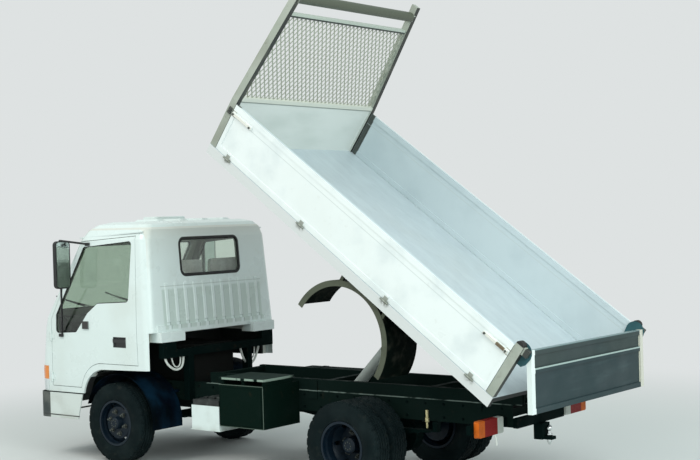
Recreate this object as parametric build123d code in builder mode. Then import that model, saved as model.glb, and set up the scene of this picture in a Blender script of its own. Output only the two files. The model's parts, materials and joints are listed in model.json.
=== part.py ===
from build123d import *
import os
from math import cos, radians, sin

os.makedirs("parts", exist_ok=True)

# Frame: +X forward, +Y to the vehicle's left, +Z up, ground at Z = 0.
# The origin is on the ground under the middle of the whole vehicle. All sizes in mm.
# Places along the vehicle are given from the rear axle or, for the cab, from the front axle.

# Driving dimensions: running gear
wheelbase = 2750.0
rear_axle_x = -986.35
front_axle_x = rear_axle_x + wheelbase
tyre_radius = 377.0
tyre_width = 205.0
rim_seat_radius = 203.0
rim_flange_radius = 216.0
rim_width = 150.0
rim_lip = 12.0
front_wheel_y = 766.0
twin_outer_y = 804.0
twin_spacing = 240.0
kingpin_y = 632.0
wheel_centre_z = tyre_radius

# Driving dimensions: frame
rail_top_z = 745.0
rail_height = 180.0
rail_flange = 60.0
rail_web = 6.0
rail_outer_y = 375.0
rail_rear_x = rear_axle_x - 1330.0
rail_front_x = front_axle_x + 945.0
rail_centre_y = rail_outer_y - rail_flange / 2
rail_bottom_z = rail_top_z - rail_height
subframe_height = 100.0
subframe_width = 50.0
subframe_top_z = rail_top_z + subframe_height
subframe_rear_x = rail_rear_x
subframe_front_x = rear_axle_x + 1950.0

# Driving dimensions: tipping bed, in its own frame of length l, width y and height h
tip_angle = 36.1
bed_hinge_x = rear_axle_x - 1378.0
bed_hinge_z = 887.0
bed_hinge_l = 120.0
bed_length = 3480.0
bed_width = 1960.0
bed_half = bed_width / 2
floor_top_h = 90.0
floor_sheet = 4.0
side_height = 530.0
side_thickness = 30.0
rear_post_length = 75.0
rear_post_h = 560.0
front_post_length = 70.0
post_width = 50.0
headboard_height = 1680.0
headboard_bar_radius = 44.0
runner_bottom_h = -37.0
tailgate_width = 1850.0
tailgate_height = 455.0
tailgate_thickness = 40.0
tailgate_pivot_l = -30.0
tailgate_pivot_h = 530.0
guard_radius = 500.0
guard_centre_l = 1430.0
guard_width = 420.0
guard_outer_y = 935.0
guard_sheet = 5.0
guard_lip = 50.0

# Driving dimensions: hoist
hoist_pivot_x = rear_axle_x + 560.0
hoist_pivot_z = 694.0
hoist_eye_l = 1384.5
hoist_eye_h = -50.0
hoist_eye_radius = 35.0
hoist_barrel_radius = 50.0
hoist_stage_radius = 42.0
hoist_rod_radius = 30.0
hoist_barrel_length = 540.0
hoist_stage_start = 400.0
hoist_stage_length = 480.0
hoist_rod_start = 760.0

# Driving dimensions: cab
cab_half = 880.0
cab_skin = 45.0
cab_rear_x = front_axle_x - 535.0
cab_front_x = front_axle_x + 1050.0
cab_floor_z = 830.0
cab_shelf_z = 1290.0
cab_underside_z = 1240.0
cab_rest_z = 1150.0
cab_pivot_x = front_axle_x + 970.0
cab_pivot_z = 690.0
cab_pin_radius = 12.0
sill_z = 870.0
door_low_z = 940.0
door_gap = 5.0
hinge_pin = 4.0
hinge_knuckle = 8.0
glass_thickness = 5.0
glass_inset = 12.0
fit_gap = 0.3

# Wheel arch in side view: the sill line, a rounded corner, and a front edge that slants down to the bumper's foot
arch_rear_z = sill_z + 25.0
arch_corner = (front_axle_x + 331.5, 876.0)
arch_foot = (front_axle_x + 464.0, 398.0)
arch_radius = 290.0
arch_lip = 46.0

tip_cos = cos(radians(tip_angle))
tip_sin = sin(radians(tip_angle))
bed_origin = Vector(bed_hinge_x - bed_hinge_l * tip_cos, 0, bed_hinge_z - bed_hinge_l * tip_sin)
bed_frame = Plane(origin=bed_origin, x_dir=(tip_cos, 0, tip_sin), z_dir=(-tip_sin, 0, tip_cos))
bed_side_view = Plane(origin=bed_origin, x_dir=(tip_cos, 0, tip_sin), z_dir=(0, -1, 0))
bed_rear_view = Plane(origin=bed_origin, x_dir=(0, 1, 0), z_dir=(tip_cos, 0, tip_sin))


def block(x0, x1, y0, y1, z0, z1, mode=Mode.ADD):
    """Box between two corners, in the frame of the part being built."""
    with Locations(((x0 + x1) / 2, (y0 + y1) / 2, (z0 + z1) / 2)):
        Box(x1 - x0, y1 - y0, z1 - z0, mode=mode)


def pair(x0, x1, y0, y1, z0, z1, mode=Mode.ADD):
    """The same box on both sides of the middle plane."""
    block(x0, x1, y0, y1, z0, z1, mode)
    block(x0, x1, -y1, -y0, z0, z1, mode)


def arch_edge_x(z):
    """Place along the vehicle of the wheel arch's front edge at height z."""
    return arch_foot[0] + (arch_foot[1] - z) * (arch_foot[0] - arch_corner[0]) / (arch_corner[1] - arch_foot[1])


def arch_opening(low_z):
    """Side view of the space that the wheel arch cuts out, from low_z upwards."""
    with BuildSketch(Plane.XZ) as opening:
        with BuildLine():
            Polyline((cab_rear_x - 50, low_z), (arch_edge_x(low_z), low_z), arch_corner,
                     (cab_rear_x - 50, arch_rear_z), close=True)
        make_face()
        fillet(opening.vertices().sort_by(Axis.X)[-2], arch_radius)
    return opening.sketch


def save(builder, name):
    """Labels a finished piece and writes it under its node name."""
    builder.part.label = name
    export_step(builder.part, f"parts/{name}.step")


# Chassis frame: two channel rails facing inwards, joined by cross members
rail_inner_y = rail_outer_y - rail_web
member_length = 80.0
member_top_z = rail_top_z - 35.0
member_bottom_z = rail_top_z - 100.0
pivot_plate = 12.0
pivot_plate_length = 80.0
pivot_boss = 30.0
pivot_pin_length = 24.0
with BuildPart() as chassis_frame:
    with BuildSketch(Plane.YZ.offset(rail_rear_x)):
        for side in (1, -1):
            with Locations((side * (rail_outer_y - rail_web / 2), rail_top_z - rail_height / 2)):
                Rectangle(rail_web, rail_height)
            for flange_z in (rail_top_z - rail_web / 2, rail_bottom_z + rail_web / 2):
                with Locations((side * rail_centre_y, flange_z)):
                    Rectangle(rail_flange, rail_web)
    extrude(amount=rail_front_x - rail_rear_x)
    for member_x in (rail_rear_x + 60, rear_axle_x + 780, front_axle_x - 1110, front_axle_x + 560,
                     rail_front_x - 60):
        block(member_x - member_length / 2, member_x + member_length / 2, -rail_inner_y, rail_inner_y,
              member_bottom_z, member_top_z)
save(chassis_frame, "chassis_frame")

# Brackets bolted to the rails' outer faces, with the pins that carry the cab's tilt pivot
with BuildPart() as cab_pivots:
    pair(cab_pivot_x - pivot_plate_length, cab_pivot_x, rail_outer_y, rail_outer_y + pivot_plate,
         cab_pivot_z - pivot_boss, cab_pivot_z + pivot_boss)
    for side in (1, -1):
        with BuildSketch(Plane.XZ.offset(-side * rail_outer_y)):
            with Locations((cab_pivot_x, cab_pivot_z)):
                Circle(pivot_boss)
        extrude(amount=-side * pivot_plate)
        with BuildSketch(Plane.XZ.offset(-side * (rail_outer_y + pivot_plate))):
            with Locations((cab_pivot_x, cab_pivot_z)):
                Circle(cab_pin_radius)
        extrude(amount=-side * pivot_pin_length)
save(cab_pivots, "cab_pivots")

# Hoop bolted to the rails behind the cab, which carries the cab's rear mounts
hoop_x0 = cab_rear_x - 60.0
hoop_x1 = cab_rear_x + 10.0
hoop_half = cab_half - 120.0
hoop_low_z = 1000.0
hoop_high_z = 1070.0
hoop_post = 70.0
rest_post = 160.0
with BuildPart() as cab_hoop:
    pair(hoop_x0, hoop_x1, rail_outer_y, rail_outer_y + hoop_post, rail_bottom_z + 20, hoop_low_z)
    block(hoop_x0, hoop_x1, -hoop_half, hoop_half, hoop_low_z, hoop_high_z)
    pair(hoop_x0, hoop_x1, hoop_half - rest_post, hoop_half, hoop_high_z, cab_rest_z)
save(cab_hoop, "cab_hoop")

# Hoist subframe on top of the rails, with the ears of the bed hinge at its rear end
ear_thickness = 12.0
ear_gap = 5.0
hinge_ear_radius = 32.0
hinge_pin_radius = 15.0
hoist_ear_half = 74.0
hoist_ear_inner = 62.0
hoist_ear_reach = 32.0
hoist_tube_x0 = hoist_pivot_x + 60.0
hoist_tube_x1 = hoist_pivot_x + 120.0
# places along the frame of the plates that tie the subframe to the rails
tie_plates = (rear_axle_x - 1000.0, rear_axle_x + 700.0, rear_axle_x + 1800.0)
with BuildPart() as hoist_subframe:
    subframe_inner_y = rail_centre_y - subframe_width / 2
    subframe_outer_y = rail_centre_y + subframe_width / 2
    pair(subframe_rear_x, subframe_front_x, subframe_inner_y, subframe_outer_y, rail_top_z, subframe_top_z)
    for member_x in (subframe_rear_x + 40, rear_axle_x - 500, subframe_front_x - 40):
        block(member_x - 30, member_x + 30, -subframe_inner_y, subframe_inner_y, rail_top_z + 10,
              subframe_top_z - 10)
    for plate_x in tie_plates:
        pair(plate_x - 45, plate_x + 45, subframe_outer_y, rail_outer_y + 8, rail_top_z + fit_gap,
             subframe_top_z - 10)
        pair(plate_x - 45, plate_x + 45, rail_outer_y + fit_gap, rail_outer_y + 8, rail_top_z - 70,
             rail_top_z + fit_gap)
    # cross tube and ears of the hoist's lower pivot
    block(hoist_tube_x0, hoist_tube_x1, -subframe_inner_y, subframe_inner_y, rail_top_z, subframe_top_z - 20)
    with BuildSketch(Plane.XZ):
        with BuildLine():
            Polyline((hoist_pivot_x - hoist_ear_reach, hoist_pivot_z - hoist_ear_reach),
                     (hoist_tube_x1, hoist_pivot_z - hoist_ear_reach), (hoist_tube_x1, rail_top_z),
                     (hoist_tube_x0, rail_top_z), (hoist_tube_x0, rail_top_z + 30),
                     (hoist_pivot_x - hoist_ear_reach, rail_top_z), close=True)
        make_face()
        with Locations((hoist_pivot_x, hoist_pivot_z)):
            Circle(hinge_pin_radius + fit_gap, mode=Mode.SUBTRACT)
    extrude(amount=hoist_ear_half, both=True)
    block(hoist_pivot_x - 60, hoist_tube_x1 + 10, -hoist_ear_inner, hoist_ear_inner, hoist_pivot_z - 60,
          rail_top_z, Mode.SUBTRACT)
    block(hoist_pivot_x - 60, hoist_tube_x0, -hoist_ear_inner, hoist_ear_inner, rail_top_z, rail_top_z + 60,
          Mode.SUBTRACT)
    # ears and pins of the bed hinge
    for side in (1, -1):
        for offset_y in (-1, 1):
            ear_y = side * rail_centre_y + offset_y * (ear_thickness + ear_gap)
            with BuildSketch(Plane.XZ.offset(-ear_y)):
                with BuildLine():
                    Polyline((subframe_rear_x + 10, rail_top_z), (subframe_rear_x + 10, bed_hinge_z),
                             (bed_hinge_x, bed_hinge_z), (bed_hinge_x - hinge_ear_radius, bed_hinge_z),
                             (bed_hinge_x - hinge_ear_radius, rail_top_z), close=True)
                make_face()
                with Locations((bed_hinge_x, bed_hinge_z)):
                    Circle(hinge_ear_radius)
            extrude(amount=ear_thickness / 2, both=True)
        with BuildSketch(Plane.XZ.offset(-side * rail_centre_y)):
            with Locations((bed_hinge_x, bed_hinge_z)):
                Circle(hinge_pin_radius)
        extrude(amount=ear_thickness * 2 + ear_gap, both=True)
save(hoist_subframe, "hoist_subframe")

# Front axle beam, with the bosses that the knuckles turn in, and rear axle housing
spring_y = rail_centre_y + 30
spring_width = 60.0
axle_tube_radius = 52.0
boss_radius = 38.0
boss_height = 120.0
beam_depth = 70.0
beam_seat_y = spring_y + 40
beam_end_y = kingpin_y - 30
beam_low_z = wheel_centre_z - 60
beam_high_z = wheel_centre_z + 5
with BuildPart() as front_axle:
    with BuildSketch(Plane.YZ.offset(front_axle_x - beam_depth / 2)):
        for side in (1, -1):
            with BuildLine():
                Polyline((0, beam_low_z), (side * beam_seat_y, beam_low_z), (side * beam_end_y, wheel_centre_z - 40),
                         (side * beam_end_y, wheel_centre_z + 40), (side * beam_seat_y, beam_high_z),
                         (0, beam_high_z), close=True)
            make_face()
    extrude(amount=beam_depth)
    for side in (1, -1):
        with Locations((front_axle_x, side * kingpin_y, wheel_centre_z)):
            Cylinder(boss_radius, boss_height)
save(front_axle, "front_axle")

twin_inner_face = twin_outer_y - twin_spacing - tyre_width / 2
differential_radius = 165.0
with BuildPart() as rear_axle:
    with Locations((rear_axle_x, 0, wheel_centre_z)):
        Cylinder(axle_tube_radius, 2 * (twin_inner_face + 60), rotation=(90, 0, 0))
    with BuildSketch(Plane.XZ.offset(-60)):
        with Locations((rear_axle_x, wheel_centre_z)):
            Circle(differential_radius)
    extrude(amount=120)
    with BuildSketch(Plane.YZ.offset(rear_axle_x)):
        with Locations((0, wheel_centre_z)):
            Circle(differential_radius - 25)
    extrude(amount=150, taper=20)
    block(rear_axle_x, rear_axle_x + 200, -60, 60, wheel_centre_z - 60, wheel_centre_z + 60)
save(rear_axle, "rear_axle")

# Leaf springs: a stack of leaves at each end of each axle, with its hangers
# columns: axle x, seat z, half length, leaves
spring_table = (
    (front_axle_x, wheel_centre_z + 5, 600.0, 4),
    (rear_axle_x, wheel_centre_z + axle_tube_radius, 620.0, 6),
)
leaf = 10.0
hanger_length = 40.0
with BuildPart() as leaf_springs:
    for axle_x, seat_z, half_length, leaves in spring_table:
        for side in (1, -1):
            y0 = side * spring_y - spring_width / 2
            y1 = side * spring_y + spring_width / 2
            for step in range(leaves):
                reach = half_length * (1 - step / (leaves + 1))
                leaf_z = seat_z + (leaves - 1 - step) * leaf
                block(axle_x - reach, axle_x + reach, y0, y1, leaf_z, leaf_z + leaf)
            for end in (1, -1):
                hanger_x = axle_x + end * (half_length - hanger_length / 2)
                block(hanger_x - hanger_length / 2, hanger_x + hanger_length / 2, y0, y1,
                      seat_z + leaves * leaf, rail_bottom_z)
save(leaf_springs, "leaf_springs")

# Engine as one plain block, with its gearbox behind
engine_rear_x = front_axle_x - 500.0
gearbox_rear_x = front_axle_x - 1050.0
engine_half = 270.0
with BuildPart() as engine_block:
    block(engine_rear_x, front_axle_x + 110, -engine_half, engine_half, 480, 1080)
    block(front_axle_x + 110, front_axle_x + 480, -engine_half, engine_half, 480, 760)
    block(gearbox_rear_x, engine_rear_x, -140, 140, 500, 700)
save(engine_block, "engine_block")

shaft_radius = 38.0
shaft_front = Vector(gearbox_rear_x - 6, 0, 600)
shaft_rear = Vector(rear_axle_x + 206, 0, wheel_centre_z)
with BuildPart() as propeller_shaft:
    shaft_run = shaft_rear - shaft_front
    with BuildSketch(Plane(origin=shaft_front, z_dir=shaft_run)):
        Circle(shaft_radius)
    extrude(amount=shaft_run.length)
save(propeller_shaft, "propeller_shaft")

# Exhaust: pipe from the engine, silencer between the rails, tail pipe to the right
exhaust_y = -200.0
exhaust_z = 520.0
exhaust_radius = 25.0
silencer_radius = 80.0
silencer_x0 = rear_axle_x + 870.0
silencer_x1 = rear_axle_x + 1450.0
tail_pipe_x = rear_axle_x + 700.0
tail_pipe_y = -760.0
with BuildPart() as exhaust:
    with BuildLine() as exhaust_route:
        FilletPolyline((engine_rear_x, exhaust_y, exhaust_z), (tail_pipe_x, exhaust_y, exhaust_z),
                       (tail_pipe_x, tail_pipe_y, exhaust_z - 60), radius=80)
    with BuildSketch(Plane(origin=(engine_rear_x, exhaust_y, exhaust_z), z_dir=(-1, 0, 0))):
        Circle(exhaust_radius)
    sweep()
    with BuildSketch(Plane.YZ.offset(silencer_x0)):
        with Locations((exhaust_y, exhaust_z)):
            Circle(silencer_radius)
    extrude(amount=silencer_x1 - silencer_x0)
save(exhaust, "exhaust")

# Tool box and battery on the left rail, fuel tank on the right one
box_rear_x = rear_axle_x + 867.0
box_length = 514.0
box_outer_y = 860.0
box_bottom_z = 450.0
box_top_z = 823.0
box_lid = 18.0
with BuildPart() as tool_box:
    block(box_rear_x, box_rear_x + box_length, rail_outer_y, box_outer_y, box_bottom_z, box_top_z)
    # door of the box on its outer face, and a shelf on its top
    block(box_rear_x + 22, box_rear_x + box_length - 22, box_outer_y, box_outer_y + 6, box_bottom_z + 22,
          box_top_z - 30)
    block(box_rear_x, box_rear_x + box_length, rail_outer_y + 60, box_outer_y - 5, box_top_z + 42,
          box_top_z + 60)
    for post_x in (box_rear_x + 20, box_rear_x + box_length / 2, box_rear_x + box_length - 20):
        block(post_x - 15, post_x + 15, rail_outer_y + 80, box_outer_y - 30, box_top_z, box_top_z + 42)
save(tool_box, "tool_box")

battery_x0 = box_rear_x + box_length + 10
battery_length = 335.0
with BuildPart() as battery_box:
    block(battery_x0, battery_x0 + battery_length, rail_outer_y, box_outer_y, 405, 625)
    block(battery_x0 - 8, battery_x0 + battery_length + 8, rail_outer_y, box_outer_y + 8, 398, 405)
    block(battery_x0 + 10, battery_x0 + battery_length - 10, rail_outer_y, box_outer_y - 10, 625, 668)
    for cap_x in (0.2, 0.5, 0.8):
        with Locations((battery_x0 + cap_x * battery_length, box_outer_y - 120, 668)):
            Cylinder(22, 24)
save(battery_box, "battery_box")

tank_x0 = rear_axle_x + 780.0
tank_length = 900.0
tank_low_z = 430.0
tank_high_z = 800.0
tank_strap = 45.0
with BuildPart() as fuel_tank:
    block(tank_x0, tank_x0 + tank_length, -box_outer_y, -rail_outer_y, tank_low_z, tank_high_z)
    fillet(fuel_tank.edges().filter_by(Axis.X), 60)
    for strap_x in (tank_x0 + 0.22 * tank_length, tank_x0 + 0.78 * tank_length):
        with BuildSketch(Plane.YZ.offset(strap_x)):
            with Locations((-(box_outer_y + rail_outer_y) / 2, (tank_low_z + tank_high_z) / 2)):
                RectangleRounded(box_outer_y - rail_outer_y + 8, tank_high_z - tank_low_z + 8, 64)
            with Locations((-rail_outer_y, (tank_low_z + tank_high_z) / 2)):
                Rectangle(20, tank_high_z, mode=Mode.SUBTRACT)
        extrude(amount=tank_strap)
    with Locations((tank_x0 + 0.5 * tank_length, -box_outer_y, tank_high_z - 95)):
        Cylinder(45, 70, rotation=(90, 0, 0))
save(fuel_tank, "fuel_tank")

# Rear bar with the lamps and the tow coupling
tow_beam_depth = 40.0
tow_ball_x = rail_rear_x - 110.0
tow_ball_z = 520.0
tow_ball_radius = 25.0
tow_plate_z = 430.0
tow_plate_thickness = 25.0
lamp_arm_depth = 40.0
lamp_arm_half = 900.0
lamp_arm_low_z = 575.0
lamp_arm_high_z = 645.0
lamp_depth_x = 45.0
lamp_face_x = rear_axle_x - 1317.0
lamp_arm_rear_x = lamp_face_x + lamp_depth_x
with BuildPart() as rear_bar:
    # beam across the rails' ends, with the plate and the ball of the tow coupling
    block(rail_rear_x - tow_beam_depth, rail_rear_x, -rail_outer_y, rail_outer_y, 560, 640)
    block(rail_rear_x - tow_beam_depth - 40, rail_rear_x, -60, 60, tow_plate_z, 560)
    block(tow_ball_x - 40, rail_rear_x - tow_beam_depth, -35, 35, tow_plate_z, tow_plate_z + tow_plate_thickness)
    with Locations((tow_ball_x, 0, tow_ball_z)):
        Sphere(tow_ball_radius)
    with Locations((tow_ball_x, 0, tow_ball_z - 40)):
        Cylinder(14, 60)
    with Locations((tow_ball_x, 0, tow_ball_z - 59)):
        Cylinder(24, 12)
    # arms that stand out from the rails and carry the lamps
    pair(lamp_arm_rear_x, lamp_arm_rear_x + lamp_arm_depth, rail_outer_y, lamp_arm_half, lamp_arm_low_z,
         lamp_arm_high_z)
save(rear_bar, "rear_bar")

tail_lamp_y = 676.0
tail_lamp_z = 610.0
tail_lamp_width = 360.0
tail_lamp_height = 132.0
with BuildPart() as tail_lamps:
    for side in (1, -1):
        with BuildSketch(Plane.YZ.offset(lamp_arm_rear_x)):
            with Locations((side * tail_lamp_y, tail_lamp_z)):
                RectangleRounded(tail_lamp_width, tail_lamp_height, 18)
        extrude(amount=-lamp_depth_x, taper=4)
save(tail_lamps, "tail_lamps")

# Front bumper: a shell open to the rear that wraps round the cab's lower corners
bumper_bottom_z = 385.0
bumper_top_z = 630.0
bumper_half = cab_half + 18
bumper_front_x = cab_front_x + 18
bumper_rear_x = arch_edge_x(bumper_top_z)
bumper_skin = 12.0
bumper_corner = 130.0
bumper_arm_top_z = 596.0
with BuildPart() as front_bumper:
    with BuildSketch(Plane.XY.offset(bumper_bottom_z)):
        with Locations(((bumper_rear_x - bumper_corner + bumper_front_x) / 2, 0)):
            RectangleRounded(bumper_front_x - bumper_rear_x + bumper_corner, 2 * bumper_half, bumper_corner)
        offset(amount=-bumper_skin, mode=Mode.SUBTRACT)
    extrude(amount=bumper_top_z - bumper_bottom_z)
    # rear ends cut to the wheel arches
    extrude(arch_opening(300), amount=bumper_half + 50, both=True, mode=Mode.SUBTRACT)
    # arms that seat in the frame rails
    pair(rail_front_x - 100, bumper_front_x - 5, 300, rail_inner_y, rail_bottom_z + rail_web, bumper_arm_top_z)
    # number plate recess and cooling slot
    block(bumper_front_x - 4, bumper_front_x + 1, -200, 200, 500, 600, Mode.SUBTRACT)
    block(bumper_front_x - 20, bumper_front_x + 1, -420, 420, 400, 460, Mode.SUBTRACT)
save(front_bumper, "front_bumper")

# Wheel-house liners over the front wheels, with a flap behind each
liner_radius = 457.0
liner_sheet = 5.0
liner_inner_y = 420.0
liner_outer_y = 800.0
flap_low_z = 330.0
with BuildPart() as splash_guards:
    with BuildSketch(Plane.XZ.offset(-liner_outer_y)):
        with Locations((front_axle_x, wheel_centre_z)):
            Circle(liner_radius + liner_sheet)
            Circle(liner_radius, mode=Mode.SUBTRACT)
            with Locations((0, -liner_radius)):
                Rectangle(3 * liner_radius, 2 * liner_radius, mode=Mode.SUBTRACT)
            with Locations((liner_radius, 0)):
                Rectangle(250, 300, mode=Mode.SUBTRACT)
        with Locations((front_axle_x - liner_radius - liner_sheet / 2, (wheel_centre_z + flap_low_z) / 2)):
            Rectangle(liner_sheet, wheel_centre_z - flap_low_z)
    extrude(amount=liner_outer_y - liner_inner_y)
    for arm_x in (front_axle_x - 367, front_axle_x + 367):
        block(arm_x - 20, arm_x + 20, rail_outer_y, liner_inner_y + 10, 640, 665)
    mirror(about=Plane.XZ)
save(splash_guards, "splash_guards")

# Cab body: plan sections stacked upwards, each a rectangle with rounded corners
# columns: height z, rear x from the cab's rear, front x from its front, half width less cab_half,
# rear corner radius, front corner radius
cab_sections = (
    (640.0, 0.0, -8.0, 0.0, 90.0, 130.0),
    (840.0, 0.0, 0.0, 0.0, 90.0, 130.0),
    (1250.0, 0.0, -45.0, 0.0, 90.0, 130.0),
    (1350.0, 8.0, -75.0, -3.0, 90.0, 120.0),
    (2110.0, 66.0, -590.0, -35.0, 90.0, 90.0),
    (2200.0, 85.0, -665.0, -68.0, 85.0, 85.0),
    (2250.0, 125.0, -745.0, -120.0, 80.0, 80.0),
    (2275.0, 205.0, -855.0, -210.0, 70.0, 70.0),
)
cab_bend_z = 2110.0
cab_top_z = 2400.0


def cab_block(inset):
    """Solid block of the cab's outer form, every face set in by inset."""
    with BuildPart() as hull:
        for z, rear, front, narrowing, rear_radius, front_radius in cab_sections:
            x0 = cab_rear_x + rear + inset
            x1 = cab_front_x + front - inset
            y0 = cab_half + narrowing - inset
            lift = z - inset if z > cab_bend_z else z
            with BuildSketch(Plane.XY.offset(lift)) as outline:
                with BuildLine():
                    Polyline((x0, y0), (x1, y0), (x1, -y0), (x0, -y0), close=True)
                make_face()
                fillet(outline.vertices().group_by(Axis.X)[0], rear_radius - inset / 2)
                fillet(outline.vertices().group_by(Axis.X)[-1], front_radius - inset / 2)
        loft(ruled=True)
    return hull.part


cab_outer = cab_block(0)
cab_inner = cab_block(cab_skin)
door_core = cab_block(cab_skin + door_gap)
glass_outer = cab_block(glass_inset)
glass_inner = cab_block(glass_inset + glass_thickness)
cab_clear = cab_block(-fit_gap)

# Openings of the cab, in side view (x, z) and in front view (y, z)
door_rear_x = front_axle_x - 365.0
door_front_x = front_axle_x + 840.0
door_belt_z = 1345.0
door_hinge_x = door_front_x + door_gap / 2
door_hinge_y = cab_half + 9.0
door_hinges = (780.0, 1180.0)
hinge_leaf = 5.0
door_foot_z = 698.0
cab_floor_x = front_axle_x + 210.0
engine_cover_x = front_axle_x + 180.0
lamp_low_z = 700.0
lamp_high_z = 860.0
lamp_half = 745.0
lamp_depth = 25.0
corner_lamp_low_z = 650.0
corner_lamp_high_z = 885.0
corner_lamp_x = cab_front_x - 150.0
lamp_proud = 4.0


def door_outline(gap):
    """Outline of a door in side view, grown by gap all round."""
    with BuildSketch(Plane.XZ) as outline:
        with BuildLine():
            Polyline((door_rear_x, door_low_z), (arch_edge_x(door_low_z) + arch_lip, door_low_z),
                     (arch_edge_x(door_foot_z) + arch_lip, door_foot_z), (door_front_x, door_foot_z),
                     (door_front_x, door_belt_z), (front_axle_x + 415, 2095), (door_rear_x + 30, 2140), close=True)
        make_face()
        arch_vertex = (arch_edge_x(door_low_z) + arch_lip, door_low_z, 0)
        fillet(outline.vertices().sort_by_distance(arch_vertex)[0], arch_radius)
        if gap:
            offset(amount=gap, kind=Kind.INTERSECTION)
    return outline.sketch


def door_window(shrink):
    """Outline of a door's window in side view, shrunk by shrink all round."""
    with BuildSketch(Plane.XZ) as outline:
        with BuildLine():
            Polyline((front_axle_x - 245, 1525), (front_axle_x + 180, 1505), (front_axle_x + 320, 1410),
                     (front_axle_x + 480, 1225), (front_axle_x + 775, 1210), (front_axle_x + 775, 1390),
                     (front_axle_x + 380, 2045), (front_axle_x - 290, 2098), close=True)
        make_face()
        fillet(outline.vertices(), 35)
        if shrink:
            offset(amount=-shrink)
    return outline.sketch


def windscreen_opening(shrink):
    """Outline of the windscreen opening in front view, shrunk by shrink all round."""
    with BuildSketch(Plane.YZ) as outline:
        with Locations((0, 1735)):
            Trapezoid(2 * (cab_half - 100), 640, 86)
        fillet(outline.vertices(), 70)
        if shrink:
            offset(amount=-shrink)
    return outline.sketch


def rear_opening(shrink):
    """Outline of the rear window opening, shrunk by shrink all round."""
    with BuildSketch(Plane.YZ) as outline:
        with Locations((0, 1930)):
            RectangleRounded(810 - 2 * shrink, 350 - 2 * shrink, 60 - shrink)
    return outline.sketch


def corner_lamp_box(grow):
    """Box that bounds the corner lamps, grown by grow all round."""
    with BuildPart(mode=Mode.PRIVATE) as bounds:
        pair(corner_lamp_x - grow, cab_front_x + 50, lamp_half + 12 - grow, cab_half + 50,
             corner_lamp_low_z - grow, corner_lamp_high_z + grow)
    return bounds.part


# Rear wall of the cab above its lower flange, as a plane with +v upwards
rear_wall_lean = (cab_sections[4][1] - cab_sections[3][1]) / (cab_sections[4][0] - cab_sections[3][0])
rear_wall = Plane(origin=(cab_rear_x + cab_sections[3][1], 0, cab_sections[3][0]), x_dir=(0, -1, 0),
                  z_dir=(-1, 0, rear_wall_lean))
rib_count = 11
rib_pitch = 125.0
rib_width = 46.0
rib_length = 370.0
rib_start = -25.0
rib_depth = 7.0
flange_low_z = 1225.0
flange_high_z = 1300.0
flange_depth = 14.0
roof_z = cab_sections[-1][0]
roof_rib_ys = (-450.0, -150.0, 150.0, 450.0)
roof_rib_length = 330.0
roof_rib_width = 110.0
roof_rib_height = 18.0
vent_x = front_axle_x + 130.0
vent_length = 220.0
vent_width = 470.0
vent_corner = 60.0
vent_height = 44.0
gutter_rear = (cab_rear_x + 120.0, 2186.0)
gutter_front = (front_axle_x + 440.0, 2136.0)
gutter_height = 11.0
gutter_out_y = cab_half - 46.0

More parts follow.
